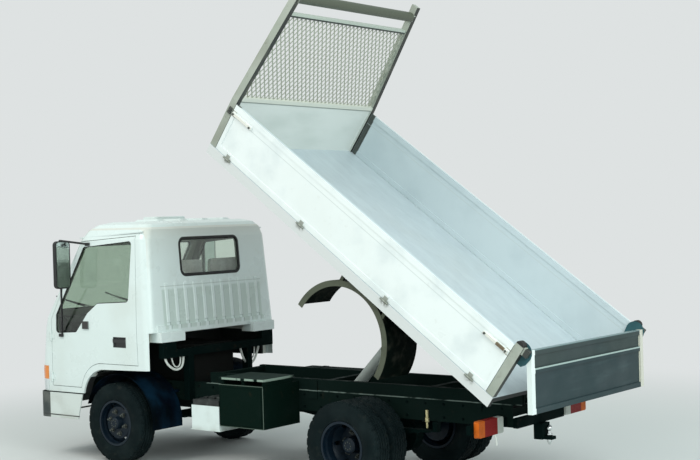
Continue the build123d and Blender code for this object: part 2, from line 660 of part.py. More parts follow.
with BuildPart() as cab_shell:
    add(cab_outer)
    # inside space: a foot well in front, and a shelf over the engine behind it
    with BuildPart(mode=Mode.PRIVATE) as cavity:
        add(cab_inner)
        with BuildSketch(Plane.XZ):
            with BuildLine():
                Polyline((cab_rear_x, cab_shelf_z), (engine_cover_x, cab_shelf_z), (cab_floor_x, cab_floor_z),
                         (cab_front_x, cab_floor_z), (cab_front_x, cab_top_z), (cab_rear_x, cab_top_z), close=True)
            make_face()
        extrude(amount=cab_half, both=True, mode=Mode.INTERSECT)
    add(cavity.part, mode=Mode.SUBTRACT)
    # space under the cab for the engine, the frame and the wheels
    floor_under_z = cab_floor_z - cab_skin
    nose_x = cab_front_x - cab_skin
    with BuildSketch(Plane.XZ):
        with BuildLine():
            Polyline((cab_rear_x - 50, 500), (nose_x, 500), (nose_x, floor_under_z),
                     (cab_floor_x - 50, floor_under_z), (engine_cover_x - 50, cab_underside_z),
                     (cab_rear_x - 50, cab_underside_z), close=True)
        make_face()
    extrude(amount=cab_half - 100, both=True, mode=Mode.SUBTRACT)
    extrude(arch_opening(500), amount=cab_half + 50, both=True, mode=Mode.SUBTRACT)
    with BuildSketch(Plane.XZ):
        with Locations((front_axle_x, wheel_centre_z)):
            Circle(liner_radius + liner_sheet + 12)
    extrude(amount=cab_half - 20, both=True, mode=Mode.SUBTRACT)
    # rear quarters keep only their outer skin below the shelf
    block(cab_rear_x - 50, door_rear_x - 60, -cab_half + 20, cab_half - 20, sill_z - 10, cab_underside_z,
          Mode.SUBTRACT)
    with BuildPart(mode=Mode.PRIVATE) as door_cutter:
        extrude(door_outline(door_gap), amount=cab_half + 20, both=True)
        add(door_core, mode=Mode.SUBTRACT)
    add(door_cutter.part, mode=Mode.SUBTRACT)
    extrude(windscreen_opening(0).moved(Location((front_axle_x + 300, 0, 0))), amount=900, mode=Mode.SUBTRACT)
    extrude(rear_opening(0).moved(Location((cab_rear_x - 50, 0, 0))), amount=300, mode=Mode.SUBTRACT)
    # seats of the head lamps, the grille and the corner lamps
    block(cab_front_x - lamp_depth, cab_front_x + 50, -lamp_half, lamp_half, lamp_low_z - fit_gap,
          lamp_high_z + fit_gap, Mode.SUBTRACT)
    with BuildPart(mode=Mode.PRIVATE) as corner_seat:
        add(corner_lamp_box(fit_gap))
        add(cab_block(lamp_depth), mode=Mode.SUBTRACT)
    add(corner_seat.part, mode=Mode.SUBTRACT)
    # pressed ribs and the lower flange of the rear wall
    with BuildSketch(rear_wall):
        with Locations((0, rib_start + rib_length / 2)):
            with GridLocations(rib_pitch, 1, rib_count, 1):
                Rectangle(rib_width, rib_length)
    extrude(amount=rib_depth, taper=40)
    block(cab_rear_x - flange_depth, cab_rear_x + 20, -cab_half + 90, cab_half - 90, flange_low_z, flange_high_z)
    # roof: pressed ribs, vent and rain gutters
    for rib_y in roof_rib_ys:
        with BuildSketch(Plane.XY.offset(roof_z - 5)):
            with Locations((cab_rear_x + 400, rib_y)):
                Rectangle(roof_rib_length, roof_rib_width)
        extrude(amount=roof_rib_height + 5, taper=45)
    with BuildSketch(Plane.XY.offset(roof_z - 30)):
        with Locations((vent_x, 0)):
            RectangleRounded(vent_length, vent_width, vent_corner)
    extrude(amount=vent_height + 30, taper=14)
    fillet(cab_shell.faces().sort_by(Axis.Z)[-1].edges(), 12)
    with BuildPart(mode=Mode.PRIVATE) as gutters:
        with BuildSketch(Plane.XZ):
            with BuildLine():
                Polyline(gutter_rear, gutter_front, (gutter_front[0], gutter_front[1] - gutter_height),
                         (gutter_rear[0], gutter_rear[1] - gutter_height), close=True)
            make_face()
        extrude(amount=gutter_out_y, both=True)
        add(cab_block(10), mode=Mode.SUBTRACT)
    add(gutters.part)
    # pivot plates in front and rest brackets behind
    with BuildSketch(Plane.XZ.offset(rail_outer_y + pivot_plate + 3)):
        with BuildLine():
            Polyline((cab_pivot_x - 30, floor_under_z + 15), (cab_pivot_x - 30, cab_pivot_z),
                     (cab_pivot_x + 30, cab_pivot_z), (cab_pivot_x + 30, floor_under_z + 15), close=True)
        make_face()
        with Locations((cab_pivot_x, cab_pivot_z)):
            Circle(30)
            Circle(cab_pin_radius + fit_gap, mode=Mode.SUBTRACT)
    extrude(amount=pivot_plate)
    mirror(about=Plane.XZ)
    pair(hoop_x0, cab_rear_x + 100, 480, 790, cab_rest_z + fit_gap, cab_underside_z + 2)
    # hinge pins and outer knuckles of the doors
    for side in (1, -1):
        leaf_y = sorted((side * (cab_half - 1), side * (cab_half + hinge_leaf)))
        for hinge_z in door_hinges:
            with Locations((door_hinge_x, side * door_hinge_y, hinge_z)):
                Cylinder(hinge_pin, 90)
            for knuckle_z in (hinge_z - 36, hinge_z + 36):
                with Locations((door_hinge_x, side * door_hinge_y, knuckle_z)):
                    Cylinder(hinge_knuckle, 18)
                block(door_hinge_x, door_hinge_x + 30, leaf_y[0], leaf_y[1], knuckle_z - 9, knuckle_z + 9)
save(cab_shell, "cab_shell")

with BuildPart() as windscreen:
    add(glass_outer)
    add(glass_inner, mode=Mode.SUBTRACT)
    extrude(windscreen_opening(fit_gap).moved(Location((front_axle_x + 300, 0, 0))), amount=900, mode=Mode.INTERSECT)
save(windscreen, "windscreen")

with BuildPart() as rear_window:
    add(glass_outer)
    add(glass_inner, mode=Mode.SUBTRACT)
    extrude(rear_opening(fit_gap).moved(Location((cab_rear_x - 50, 0, 0))), amount=300, mode=Mode.INTERSECT)
save(rear_window, "rear_window")

# Doors, their panes and mirrors: the left ones are mirrored for the right side
handle_x0 = front_axle_x - 211.0
handle_x1 = front_axle_x - 38.0
handle_low_z = 1099.0
handle_high_z = 1196.0
handle_pocket = 14.0
repeater_x0 = front_axle_x + 296.0
repeater_x1 = front_axle_x + 378.0
repeater_low_z = 1262.0
repeater_high_z = 1336.0
with BuildPart() as door_left:
    add(cab_outer)
    add(cab_inner, mode=Mode.SUBTRACT)
    extrude(door_outline(0).moved(Location((0, cab_half + 20, 0))), amount=250, mode=Mode.INTERSECT)
    extrude(door_window(0).moved(Location((0, cab_half + 20, 0))), amount=250, mode=Mode.SUBTRACT)
    # pull handle in its pocket, and the seat of the side repeater
    block(handle_x0, handle_x1, cab_half - handle_pocket, cab_half + 10, handle_low_z, handle_high_z, Mode.SUBTRACT)
    block(handle_x0, handle_x1, cab_half - handle_pocket, cab_half + 6, handle_low_z + 45, handle_high_z - 18)
    block(repeater_x0, repeater_x1, cab_half - 10, cab_half + 14, repeater_low_z, repeater_high_z)
    for hinge_z in door_hinges:
        with Locations((door_hinge_x, door_hinge_y, hinge_z)):
            Cylinder(hinge_knuckle, 53)
        block(door_hinge_x - 40, door_hinge_x, cab_half - 1, cab_half + hinge_leaf, hinge_z - 26.5, hinge_z + 26.5)
        with Locations((door_hinge_x, door_hinge_y, hinge_z)):
            Cylinder(hinge_pin + fit_gap, 60, mode=Mode.SUBTRACT)
save(door_left, "door_left")

with BuildPart() as door_glass_left:
    add(glass_outer)
    add(glass_inner, mode=Mode.SUBTRACT)
    extrude(door_window(fit_gap).moved(Location((0, cab_half + 20, 0))), amount=250, mode=Mode.INTERSECT)
save(door_glass_left, "door_glass_left")

mirror_x = front_axle_x + 485.0
mirror_y = 1011.0
mirror_z = 1882.0
mirror_depth = 55.0
mirror_width = 178.0
mirror_height = 456.0
mirror_arm_radius = 10.0
# columns: foot x, foot y, foot z, height of the arm's end on the mirror's spine
mirror_arms = (
    (front_axle_x + 310.0, 840.0, 2072.0, mirror_z + 232.0),
    (front_axle_x + 690.0, 874.0, 1192.0, mirror_z - 232.0),
)
with BuildPart() as mirror_left:
    with BuildSketch(Plane.YZ.offset(mirror_x)):
        with Locations((mirror_y, mirror_z)):
            RectangleRounded(mirror_width, mirror_height, 40)
    extrude(amount=mirror_depth)
    fillet(mirror_left.faces().sort_by(Axis.X)[-1].edges(), 22)
    for foot_x, foot_y, foot_z, end_z in mirror_arms:
        foot = Vector(foot_x, foot_y, foot_z)
        reach = Vector(mirror_x + mirror_depth - 15, mirror_y, end_z) - foot
        with BuildSketch(Plane(origin=foot, z_dir=reach)):
            Circle(mirror_arm_radius)
        extrude(amount=reach.length)
        block(foot_x - 26, foot_x + 26, foot_y, foot_y + 24, foot_z - 15, foot_z + 15)
    with Locations((mirror_x + mirror_depth - 15, mirror_y, mirror_z)):
        Cylinder(mirror_arm_radius, mirror_height + 24)
    add(cab_clear, mode=Mode.SUBTRACT)
save(mirror_left, "mirror_left")

for name, source in (("door_right", door_left), ("door_glass_right", door_glass_left),
                     ("mirror_right", mirror_left)):
    with BuildPart() as copy:
        mirror(source.part, about=Plane.XZ)
    save(copy, name)

# Inside of the cab: seats, dashboard and steering wheel
seat_x = front_axle_x - 190.0
# columns: centre y, width
seat_table = ((-400.0, 500.0), (330.0, 760.0))
with BuildPart() as seats:
    for seat_y, seat_width in seat_table:
        with BuildSketch(Plane.XZ.offset(-seat_y)):
            with BuildLine():
                Polyline((seat_x - 180, cab_shelf_z), (seat_x + 330, cab_shelf_z), (seat_x + 330, 1400),
                         (seat_x - 60, 1420), (seat_x - 110, 1900), (seat_x - 180, 1900), close=True)
            face = make_face()
            fillet(face.vertices().group_by(Axis.Y)[-1], 28)
        extrude(amount=seat_width / 2, both=True)
save(seats, "seats")

steering_centre = Vector(front_axle_x + 400, -400, 1530)
wheel_plane = Plane(origin=steering_centre, x_dir=(0, 1, 0), z_dir=(-0.64, 0, 0.77))
column_radius = 25.0
column_length = 400.0
dash_low_z = 1150.0
dash_high_z = 1370.0
with BuildPart() as dashboard:
    with BuildSketch(Plane.XZ):
        with BuildLine():
            Polyline((front_axle_x + 640, dash_low_z), (cab_front_x - 140, dash_low_z),
                     (cab_front_x - 140, dash_high_z - 20), (front_axle_x + 760, dash_high_z),
                     (front_axle_x + 640, dash_high_z - 60), close=True)
        make_face()
    extrude(amount=cab_half - 90, both=True)
    pair(door_front_x + 20, cab_front_x - 140, cab_half - 95, cab_half - cab_skin, dash_low_z, dash_high_z - 30)
    add(cab_block(cab_skin + fit_gap), mode=Mode.INTERSECT)
    with BuildSketch(wheel_plane):
        Circle(column_radius + fit_gap)
    extrude(amount=-column_length - fit_gap, mode=Mode.SUBTRACT)
save(dashboard, "dashboard")

with BuildPart() as steering_wheel:
    with BuildSketch(Plane(origin=steering_centre, x_dir=(0, 1, 0), z_dir=(0.77, 0, 0.64))):
        with Locations((200, 0)):
            Circle(14)
    revolve(axis=Axis(steering_centre, wheel_plane.z_dir))
    with BuildSketch(wheel_plane):
        Rectangle(400, 30)
        Circle(50)
    extrude(amount=8, both=True)
    with BuildSketch(wheel_plane):
        Circle(column_radius)
    extrude(amount=-column_length)
save(steering_wheel, "steering_wheel")

# Head lamps with the corner lamps beside them, and the grille between
head_lamp_inner_y = 470.0
with BuildPart() as head_lamps:
    pair(cab_front_x - lamp_depth + 1, cab_front_x + 8, head_lamp_inner_y, lamp_half - 1, lamp_low_z, lamp_high_z)
    fillet(head_lamps.edges().filter_by(Axis.X), 18)
    with BuildPart(mode=Mode.PRIVATE) as corner_lamps:
        add(cab_block(-lamp_proud))
        add(cab_block(lamp_depth - 1), mode=Mode.SUBTRACT)
        add(corner_lamp_box(0), mode=Mode.INTERSECT)
    add(corner_lamps.part)
save(head_lamps, "head_lamps")

grille_slots = 4
grille_slot_height = 20.0
with BuildPart() as grille:
    block(cab_front_x - lamp_depth + 1, cab_front_x + 8, -head_lamp_inner_y + 1, head_lamp_inner_y - 1,
          lamp_low_z, lamp_high_z)
    slot_pitch = (lamp_high_z - lamp_low_z) / grille_slots
    for slot in range(grille_slots):
        slot_z = lamp_low_z + (slot + 0.5) * slot_pitch
        block(cab_front_x - lamp_depth + 12, cab_front_x + 9, -head_lamp_inner_y + 20, head_lamp_inner_y - 20,
              slot_z - grille_slot_height / 2, slot_z + grille_slot_height / 2, Mode.SUBTRACT)
save(grille, "grille")


# Wheels: tyre and rim are turned profiles about the axle, drawn for the left side
def wheel_view(x):
    """Plane through an axle, its first direction outwards to the left, its second up."""
    return Plane(origin=(x, 0, wheel_centre_z), x_dir=(0, 1, 0), z_dir=(1, 0, 0))


def axle_line(x):
    """Turning axis of the wheels of one axle."""
    return Axis((x, 0, wheel_centre_z), (0, 1, 0))


shoulder_radius = tyre_radius - 37.0
widest_radius = 285.0
tread_half = tyre_width / 2 - 24.0


def tyre_section(x, y):
    """Section of a tyre centred at y, above the axle at x."""
    half = tyre_width / 2
    seat = rim_seat_radius + fit_gap
    with BuildSketch(wheel_view(x)) as section:
        with BuildLine():
            Polyline((y - rim_width / 2, rim_flange_radius), (y - half + 6, 250), (y - half, widest_radius),
                     (y - half + 8, shoulder_radius), (y - tread_half, tyre_radius),
                     (y + tread_half, tyre_radius), (y + half - 8, shoulder_radius), (y + half, widest_radius),
                     (y + half - 6, 250), (y + rim_width / 2, rim_flange_radius), (y + rim_width / 2, seat),
                     (y - rim_width / 2, seat), close=True)
        make_face()
    return section.sketch


def rim_section(x, y, disc_y, bulge):
    """Section of a rim with its flanges, and a disc dished from disc_y by bulge."""
    half = rim_width / 2
    with BuildSketch(wheel_view(x)) as section:
        with BuildLine():
            Polyline((y - half - rim_lip, rim_flange_radius), (y - half, rim_flange_radius),
                     (y - half, rim_seat_radius), (y + half, rim_seat_radius), (y + half, rim_flange_radius),
                     (y + half + rim_lip, rim_flange_radius), (y + half + rim_lip, rim_seat_radius - 8),
                     (y + half - 25, rim_seat_radius - 8), (y + half - 45, rim_seat_radius - 14),
                     (y - half + 45, rim_seat_radius - 14), (y - half + 25, rim_seat_radius - 8),
                     (y - half - rim_lip, rim_seat_radius - 8), close=True)
        make_face()
        with BuildLine():
            Polyline((disc_y, rim_seat_radius - 4), (disc_y + bulge, 150), (disc_y + bulge, 60),
                     (disc_y + bulge - 10, 60), (disc_y + bulge - 10, 150), (disc_y - 10, rim_seat_radius - 4),
                     close=True)
        make_face()
    return section.sketch


hand_holes = 6
hand_hole_radius = 19.0
hand_hole_ring = 168.0


def cut_hand_holes(x, y0, y1):
    """Cuts the ring of hand holes through a wheel's disc between y0 and y1."""
    with BuildSketch(Plane(origin=(x, y0, wheel_centre_z), x_dir=(1, 0, 0), z_dir=(0, 1, 0))) as ring:
        with PolarLocations(hand_hole_ring, hand_holes):
            Circle(hand_hole_radius)
    extrude(ring.sketch, amount=y1 - y0, mode=Mode.SUBTRACT)


with BuildPart() as tyre_front_left:
    revolve(tyre_section(front_axle_x, front_wheel_y), axis=axle_line(front_axle_x))
save(tyre_front_left, "tyre_front_left")

stub_radius = 28.0
drum_radius = 146.0
with BuildPart() as rim_front_left:
    revolve(rim_section(front_axle_x, front_wheel_y, front_wheel_y + 10, 35), axis=axle_line(front_axle_x))
    cut_hand_holes(front_axle_x, front_wheel_y - 10, front_wheel_y + 60)
    # brake drum, hub and its cap
    with BuildSketch(wheel_view(front_axle_x)):
        with BuildLine():
            Polyline((front_wheel_y - 80, stub_radius + fit_gap), (front_wheel_y - 80, drum_radius),
                     (front_wheel_y + 36, drum_radius), (front_wheel_y + 44, 62), (front_wheel_y + 92, 52),
                     (front_wheel_y + 100, 40), (front_wheel_y + 100, 0), (front_wheel_y + 60, 0),
                     (front_wheel_y + 60, stub_radius + fit_gap), close=True)
        make_face()
    revolve(axis=axle_line(front_axle_x))
save(rim_front_left, "rim_front_left")

with BuildPart() as tyres_rear_left:
    for wheel_y in (twin_outer_y, twin_outer_y - twin_spacing):
        revolve(tyre_section(rear_axle_x, wheel_y), axis=axle_line(rear_axle_x))
save(tyres_rear_left, "tyres_rear_left")

twin_middle = twin_outer_y - twin_spacing / 2
with BuildPart() as rims_rear_left:
    # columns: wheel y, disc's place from it, dish of the disc
    for wheel_y, disc_y, bulge in ((twin_outer_y, -30, -80), (twin_outer_y - twin_spacing, 40, 80)):
        revolve(rim_section(rear_axle_x, wheel_y, wheel_y + disc_y, bulge), axis=axle_line(rear_axle_x))
    cut_hand_holes(rear_axle_x, twin_middle + 16, twin_middle + 110)
    with BuildSketch(wheel_view(rear_axle_x)):
        with BuildLine():
            Polyline((twin_inner_face + 20, axle_tube_radius + fit_gap), (twin_inner_face + 20, drum_radius),
                     (twin_middle + 14, drum_radius), (twin_middle + 14, 75), (twin_middle + 105, 65),
                     (twin_middle + 115, 50), (twin_middle + 115, 0), (twin_inner_face + 70, 0),
                     (twin_inner_face + 70, axle_tube_radius + fit_gap), close=True)
        make_face()
    revolve(axis=axle_line(rear_axle_x))
save(rims_rear_left, "rims_rear_left")

# Steering knuckle: fork round the axle's end, stub axle
fork_thickness = 27.0
fork_half = (boss_height + fork_thickness) / 2 + fit_gap
fork_arm_y = kingpin_y + 51.0
with BuildPart() as knuckle_left:
    for fork_side in (1, -1):
        fork_z = wheel_centre_z + fork_side * fork_half
        with Locations((front_axle_x, kingpin_y, fork_z)):
            Cylinder(36, fork_thickness)
        block(front_axle_x - 30, front_axle_x + 30, kingpin_y, fork_arm_y, fork_z - fork_thickness / 2,
              fork_z + fork_thickness / 2)
    block(front_axle_x - 30, front_axle_x + 30, fork_arm_y - 11, fork_arm_y, wheel_centre_z - fork_half,
          wheel_centre_z + fork_half)
    with BuildSketch(wheel_view(front_axle_x)):
        with BuildLine():
            Polyline((fork_arm_y - 11, 0), (fork_arm_y - 11, stub_radius), (front_wheel_y + 50, stub_radius),
                     (front_wheel_y + 50, 0), close=True)
        make_face()
    revolve(axis=axle_line(front_axle_x))
save(knuckle_left, "knuckle_left")

for name, source in (("tyre_front_right", tyre_front_left), ("rim_front_right", rim_front_left),
                     ("tyres_rear_right", tyres_rear_left), ("rims_rear_right", rims_rear_left),
                     ("knuckle_right", knuckle_left)):
    with BuildPart() as copy:
        mirror(source.part, about=Plane.XZ)
    save(copy, name)

# Bed floor with its side rails, cross members and runners, in the bed's own frame
front_post_l = bed_length - front_post_length
drop_hinges = (250.0, 1208.0, 2248.0, 3236.0)
hinge_out = 6.0
hinge_h = 82.0
hinge_half = 21.0
side_rail_width = 45.0
member_low_h = 40.0
cross_members = (30.0, 480.0, 930.0, 1384.5, 1700.0, 2300.0, 2900.0, 3440.0)
sheet_low_h = floor_top_h - floor_sheet
eye_ear_inner = 48.0
eye_ear_outer = 60.0
with BuildPart(bed_frame) as bed_floor:
    block(0, bed_length, -bed_half + 4, bed_half - 4, sheet_low_h, floor_top_h)
    pair(0, bed_length, bed_half - side_rail_width, bed_half, 0, sheet_low_h)
    for member_l in cross_members:
        block(member_l - 30, member_l + 30, -bed_half + side_rail_width, bed_half - side_rail_width,
              member_low_h, sheet_low_h)
    for side in (1, -1):
        y0 = side * rail_centre_y
        block(bed_hinge_l + 65, cross_members[-1], y0 - 25, y0 + 25, runner_bottom_h, member_low_h)
        block(cross_members[0], bed_hinge_l + 65, y0 - ear_thickness / 2, y0 + ear_thickness / 2, 20, member_low_h)
        with BuildSketch(bed_side_view.offset(-y0)):
            with Locations((bed_hinge_l, 0)):
                Circle(hinge_ear_radius)
            with Locations((bed_hinge_l, 30)):
                Rectangle(hinge_ear_radius * 2, 60)
            with Locations((bed_hinge_l, 0)):
                Circle(hinge_pin_radius + fit_gap, mode=Mode.SUBTRACT)
        extrude(amount=ear_thickness / 2, both=True)
    # hinge knuckles and pins of the drop sides
    for hinge_l in drop_hinges:
        for side in (1, -1):
            y0 = side * (bed_half + hinge_out)
            notch = sorted((side * (bed_half - 10), side * (bed_half + 30)))
            block(hinge_l - hinge_half - 1, hinge_l + hinge_half + 1, notch[0], notch[1], hinge_h - 14, sheet_low_h,
                  Mode.SUBTRACT)
            for knuckle_l, knuckle_length, radius in ((hinge_l, 90, hinge_pin), (hinge_l - 33, 22, hinge_knuckle),
                                                      (hinge_l + 33, 22, hinge_knuckle)):
                with Locations((knuckle_l, y0, hinge_h)):
                    Cylinder(radius, knuckle_length, rotation=(0, 90, 0))
    # ears of the hoist's upper pivot, either side of the rod's eye
    pair(hoist_eye_l - 35, hoist_eye_l + 35, eye_ear_inner, eye_ear_outer, hoist_eye_h - 30, 70)
save(bed_floor, "bed_floor")

gate_pin_radius = 10.0
with BuildPart(bed_frame) as rear_posts:
    pair(2, rear_post_length, bed_half - post_width, bed_half, floor_top_h, rear_post_h)
    # arms and pins that the tailgate hangs on
    pair(tailgate_pivot_l - 20, 2, tailgate_width / 2 + 5, bed_half - 10, tailgate_pivot_h - 30, rear_post_h)
    for side in (1, -1):
        with BuildSketch(bed_side_view.offset(-side * (tailgate_width / 2 - 10))):
            with Locations((tailgate_pivot_l, tailgate_pivot_h)):
                Circle(gate_pin_radius)
        extrude(amount=-side * 20)
save(rear_posts, "rear_posts")

guard_stay = 30.0
with BuildPart(bed_frame) as mudguards:
    for outer, inner, depth in ((guard_radius, guard_radius - guard_sheet, guard_width),
                                (guard_radius, guard_radius - guard_lip, guard_sheet)):
        with BuildSketch(bed_side_view.offset(-guard_outer_y)):
            with Locations((guard_centre_l, -guard_radius)):
                Circle(outer)
                Circle(inner, mode=Mode.SUBTRACT)
                with Locations((0, -guard_radius)):
                    Rectangle(3 * guard_radius, 2 * guard_radius, mode=Mode.SUBTRACT)
        extrude(amount=depth)
    # stays from the side rail down to the guard's shoulders
    for stay_l in (guard_centre_l - 250, guard_centre_l + 250):
        block(stay_l - guard_stay / 2, stay_l + guard_stay / 2, bed_half - side_rail_width - 30,
              bed_half - side_rail_width - 5, -72, member_low_h)
    mirror(about=Plane.XZ)
save(mudguards, "mudguards")

# Headboard: kinked posts, a solid lower sheet, a mesh field and a round bar along the top
post_inner_top = 800.0
post_outer_top = 850.0
post_kink_h = 555.0
mesh_low_h = 590.0
mesh_high_h = 1395.0
mesh_low_half = bed_half - post_width - 9
mesh_high_half = 828.0
top_rail_height = 35.0
top_rail_half = 842.0
bar_h = 1567.0
with BuildPart(bed_frame) as headboard:
    with BuildSketch(bed_rear_view.offset(front_post_l)):
        for side in (1, -1):
            with BuildLine():
                Polyline((side * (bed_half - post_width), floor_top_h), (side * bed_half, floor_top_h),
                         (side * bed_half, post_kink_h), (side * post_outer_top, headboard_height),
                         (side * post_inner_top, headboard_height), (side * (bed_half - post_width), post_kink_h),
                         close=True)
            make_face()
    extrude(amount=front_post_length)
    block(front_post_l + 20, front_post_l + 26, -bed_half + post_width, bed_half - post_width, floor_top_h,
          post_kink_h)
    block(front_post_l + 10, front_post_l + 50, -bed_half + 40, bed_half - 40, post_kink_h, mesh_low_h)
    block(front_post_l + 10, front_post_l + 50, -top_rail_half, top_rail_half, mesh_high_h,
          mesh_high_h + top_rail_height)
    with BuildSketch(bed_side_view):
        with Locations((front_post_l + 30, bar_h)):
            Circle(headboard_bar_radius)
    extrude(amount=(post_inner_top + post_outer_top) / 2 + 7, both=True)
save(headboard, "headboard")

# Expanded mesh: a sheet cut by staggered rows of diamonds
mesh_l = front_post_l + 28
mesh_sheet = 3.0
diamond_width = 180.0
diamond_height = 80.0
diamond_strand = 14.0
diamonds = []
for row in range(1, int(2 * (mesh_high_h - mesh_low_h) / diamond_height)):
    row_h = mesh_low_h + row * diamond_height / 2
    row_half = mesh_low_half + (mesh_high_half - mesh_low_half) * (row_h - mesh_low_h) / (mesh_high_h - mesh_low_h)
    for column in range(-6, 7):
        diamond_y = (column + 0.5 * (row % 2)) * diamond_width
        if abs(diamond_y) + diamond_width / 2 < row_half:
            diamonds.append((diamond_y, row_h))
with BuildPart(bed_frame) as headboard_mesh:
    with BuildSketch(bed_rear_view.offset(mesh_l)):
        with BuildLine():
            Polyline((mesh_low_half, mesh_low_h), (mesh_high_half, mesh_high_h), (-mesh_high_half, mesh_high_h),
                     (-mesh_low_half, mesh_low_h), close=True)
        make_face()
        half_w = diamond_width / 2 - diamond_strand
        half_h = diamond_height / 2 - 0.5 * diamond_strand
        with Locations(*diamonds):
            Polygon((half_w, 0), (0, half_h), (-half_w, 0), (0, -half_h), mode=Mode.SUBTRACT)
    extrude(amount=mesh_sheet)
save(headboard_mesh, "headboard_mesh")

# Drop sides, hinged along their lower edge
drop_rear_l = rear_post_length + 5
drop_front_l = front_post_l - 5
drop_low_h = floor_top_h + 2
latch_low_h = 440.0
latch_high_h = 462.0
latch_length = 250.0
with BuildPart(bed_frame) as drop_side_left:
    block(drop_rear_l, drop_front_l, bed_half - side_thickness + 6, bed_half - 5, drop_low_h, side_height)
    block(drop_rear_l, drop_front_l, bed_half - side_thickness, bed_half, drop_low_h, drop_low_h + 48)
    block(drop_rear_l, drop_front_l, bed_half - side_thickness, bed_half, side_height - 50, side_height)
    for end_l in (drop_rear_l, drop_front_l - 40):
        block(end_l, end_l + 40, bed_half - side_thickness, bed_half, drop_low_h, side_height)
    for latch_l in (drop_rear_l + 10, drop_front_l - latch_length - 10):
        block(latch_l, latch_l + latch_length, bed_half - 5, bed_half + 18, latch_low_h, latch_high_h)
    for hinge_l in drop_hinges:
        block(hinge_l - hinge_half, hinge_l + hinge_half, bed_half, bed_half + 4, hinge_h, drop_low_h + 48)
        with Locations((hinge_l, bed_half + hinge_out, hinge_h)):
            Cylinder(hinge_knuckle, 2 * hinge_half, rotation=(0, 90, 0))
            Cylinder(hinge_pin + fit_gap, 60, rotation=(0, 90, 0), mode=Mode.SUBTRACT)
save(drop_side_left, "drop_side_left")

with BuildPart() as drop_side_right:
    mirror(drop_side_left.part, about=Plane.XZ)
save(drop_side_right, "drop_side_right")

# Tailgate, hanging plumb from its upper pivots
gate_pivot = bed_frame.from_local_coords(Vector(tailgate_pivot_l, 0, tailgate_pivot_h))
gate_frame = Plane(origin=gate_pivot, x_dir=(1, 0, 0), z_dir=(0, 0, 1))
gate_stile = 50.0
gate_top = 20.0
gate_rail = 40.0
with BuildPart(gate_frame) as tailgate:
    gate_half = tailgate_width / 2
    block(-8, 8, -gate_half + gate_stile - 10, gate_half - gate_stile + 10, -tailgate_height, gate_top)
    pair(-tailgate_thickness / 2, tailgate_thickness / 2, gate_half - gate_stile, gate_half, -tailgate_height,
         gate_top)
    for rail_z in (-tailgate_height, -155, gate_top - gate_rail):
        block(-tailgate_thickness / 2, tailgate_thickness / 2, -gate_half + gate_stile, gate_half - gate_stile,
              rail_z, rail_z + gate_rail)
    with BuildSketch(Plane(origin=gate_pivot, x_dir=(1, 0, 0), z_dir=(0, -1, 0))):
        Circle(gate_pin_radius + 0.5)
    extrude(amount=gate_half + 1, both=True, mode=Mode.SUBTRACT)
save(tailgate, "tailgate")

# Hoist: barrel on the subframe's pivot, one middle stage, and the rod up to the bed's ears
hoist_base = Vector(hoist_pivot_x, 0, hoist_pivot_z)
hoist_eye = bed_frame.from_local_coords(Vector(hoist_eye_l, 0, hoist_eye_h))
hoist_run = hoist_eye - hoist_base
hoist_frame = Plane(origin=hoist_base, x_dir=(0, 1, 0), z_dir=hoist_run)
barrel_start = 45.0
with BuildPart() as hoist_barrel:
    with BuildSketch(hoist_frame.offset(barrel_start)):
        Circle(hoist_barrel_radius)
        Circle(hoist_stage_radius + fit_gap, mode=Mode.SUBTRACT)
    extrude(amount=hoist_barrel_length - barrel_start)
    with BuildSketch(hoist_frame.offset(barrel_start - 17)):
        Circle(hoist_barrel_radius)
    extrude(amount=18)
    for radius, half in ((hoist_eye_radius, hoist_ear_inner - 5), (hinge_pin_radius, hoist_ear_half + 6)):
        with BuildSketch(Plane.XZ):
            with Locations((hoist_pivot_x, hoist_pivot_z)):
                Circle(radius)
        extrude(amount=half, both=True)
save(hoist_barrel, "hoist_barrel")

with BuildPart() as hoist_stage:
    with BuildSketch(hoist_frame.offset(hoist_stage_start)):
        Circle(hoist_stage_radius)
        Circle(hoist_rod_radius + fit_gap, mode=Mode.SUBTRACT)
    extrude(amount=hoist_stage_length)
save(hoist_stage, "hoist_stage")

with BuildPart() as hoist_rod:
    with BuildSketch(hoist_frame.offset(hoist_rod_start)):
        Circle(hoist_rod_radius)
    extrude(amount=hoist_run.length - hoist_rod_start - 20)
    with BuildSketch(Plane.XZ):
        with Locations((hoist_eye.X, hoist_eye.Z)):
            Circle(hoist_eye_radius)
    extrude(amount=eye_ear_inner - fit_gap, both=True)
save(hoist_rod, "hoist_rod")
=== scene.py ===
import json
import math

import bmesh
import bpy
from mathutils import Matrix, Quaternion, Vector


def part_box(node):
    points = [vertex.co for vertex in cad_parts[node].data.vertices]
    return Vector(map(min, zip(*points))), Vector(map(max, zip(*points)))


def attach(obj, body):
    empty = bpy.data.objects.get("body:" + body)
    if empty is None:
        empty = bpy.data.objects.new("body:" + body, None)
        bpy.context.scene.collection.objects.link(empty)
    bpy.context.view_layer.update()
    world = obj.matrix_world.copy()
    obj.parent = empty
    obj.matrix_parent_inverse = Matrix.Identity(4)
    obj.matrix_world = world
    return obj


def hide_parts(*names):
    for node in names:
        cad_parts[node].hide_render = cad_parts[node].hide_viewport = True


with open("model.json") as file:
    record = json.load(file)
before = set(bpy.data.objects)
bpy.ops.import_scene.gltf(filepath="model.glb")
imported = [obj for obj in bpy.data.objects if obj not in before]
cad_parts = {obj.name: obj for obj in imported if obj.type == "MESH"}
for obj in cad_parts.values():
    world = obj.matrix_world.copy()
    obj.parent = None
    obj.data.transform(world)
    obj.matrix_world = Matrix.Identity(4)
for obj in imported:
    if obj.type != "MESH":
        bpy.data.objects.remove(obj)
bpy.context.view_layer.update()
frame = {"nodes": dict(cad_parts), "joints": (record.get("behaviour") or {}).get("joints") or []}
nodes = frame["nodes"]
joints = {joint["name"]: joint for joint in frame["joints"]}


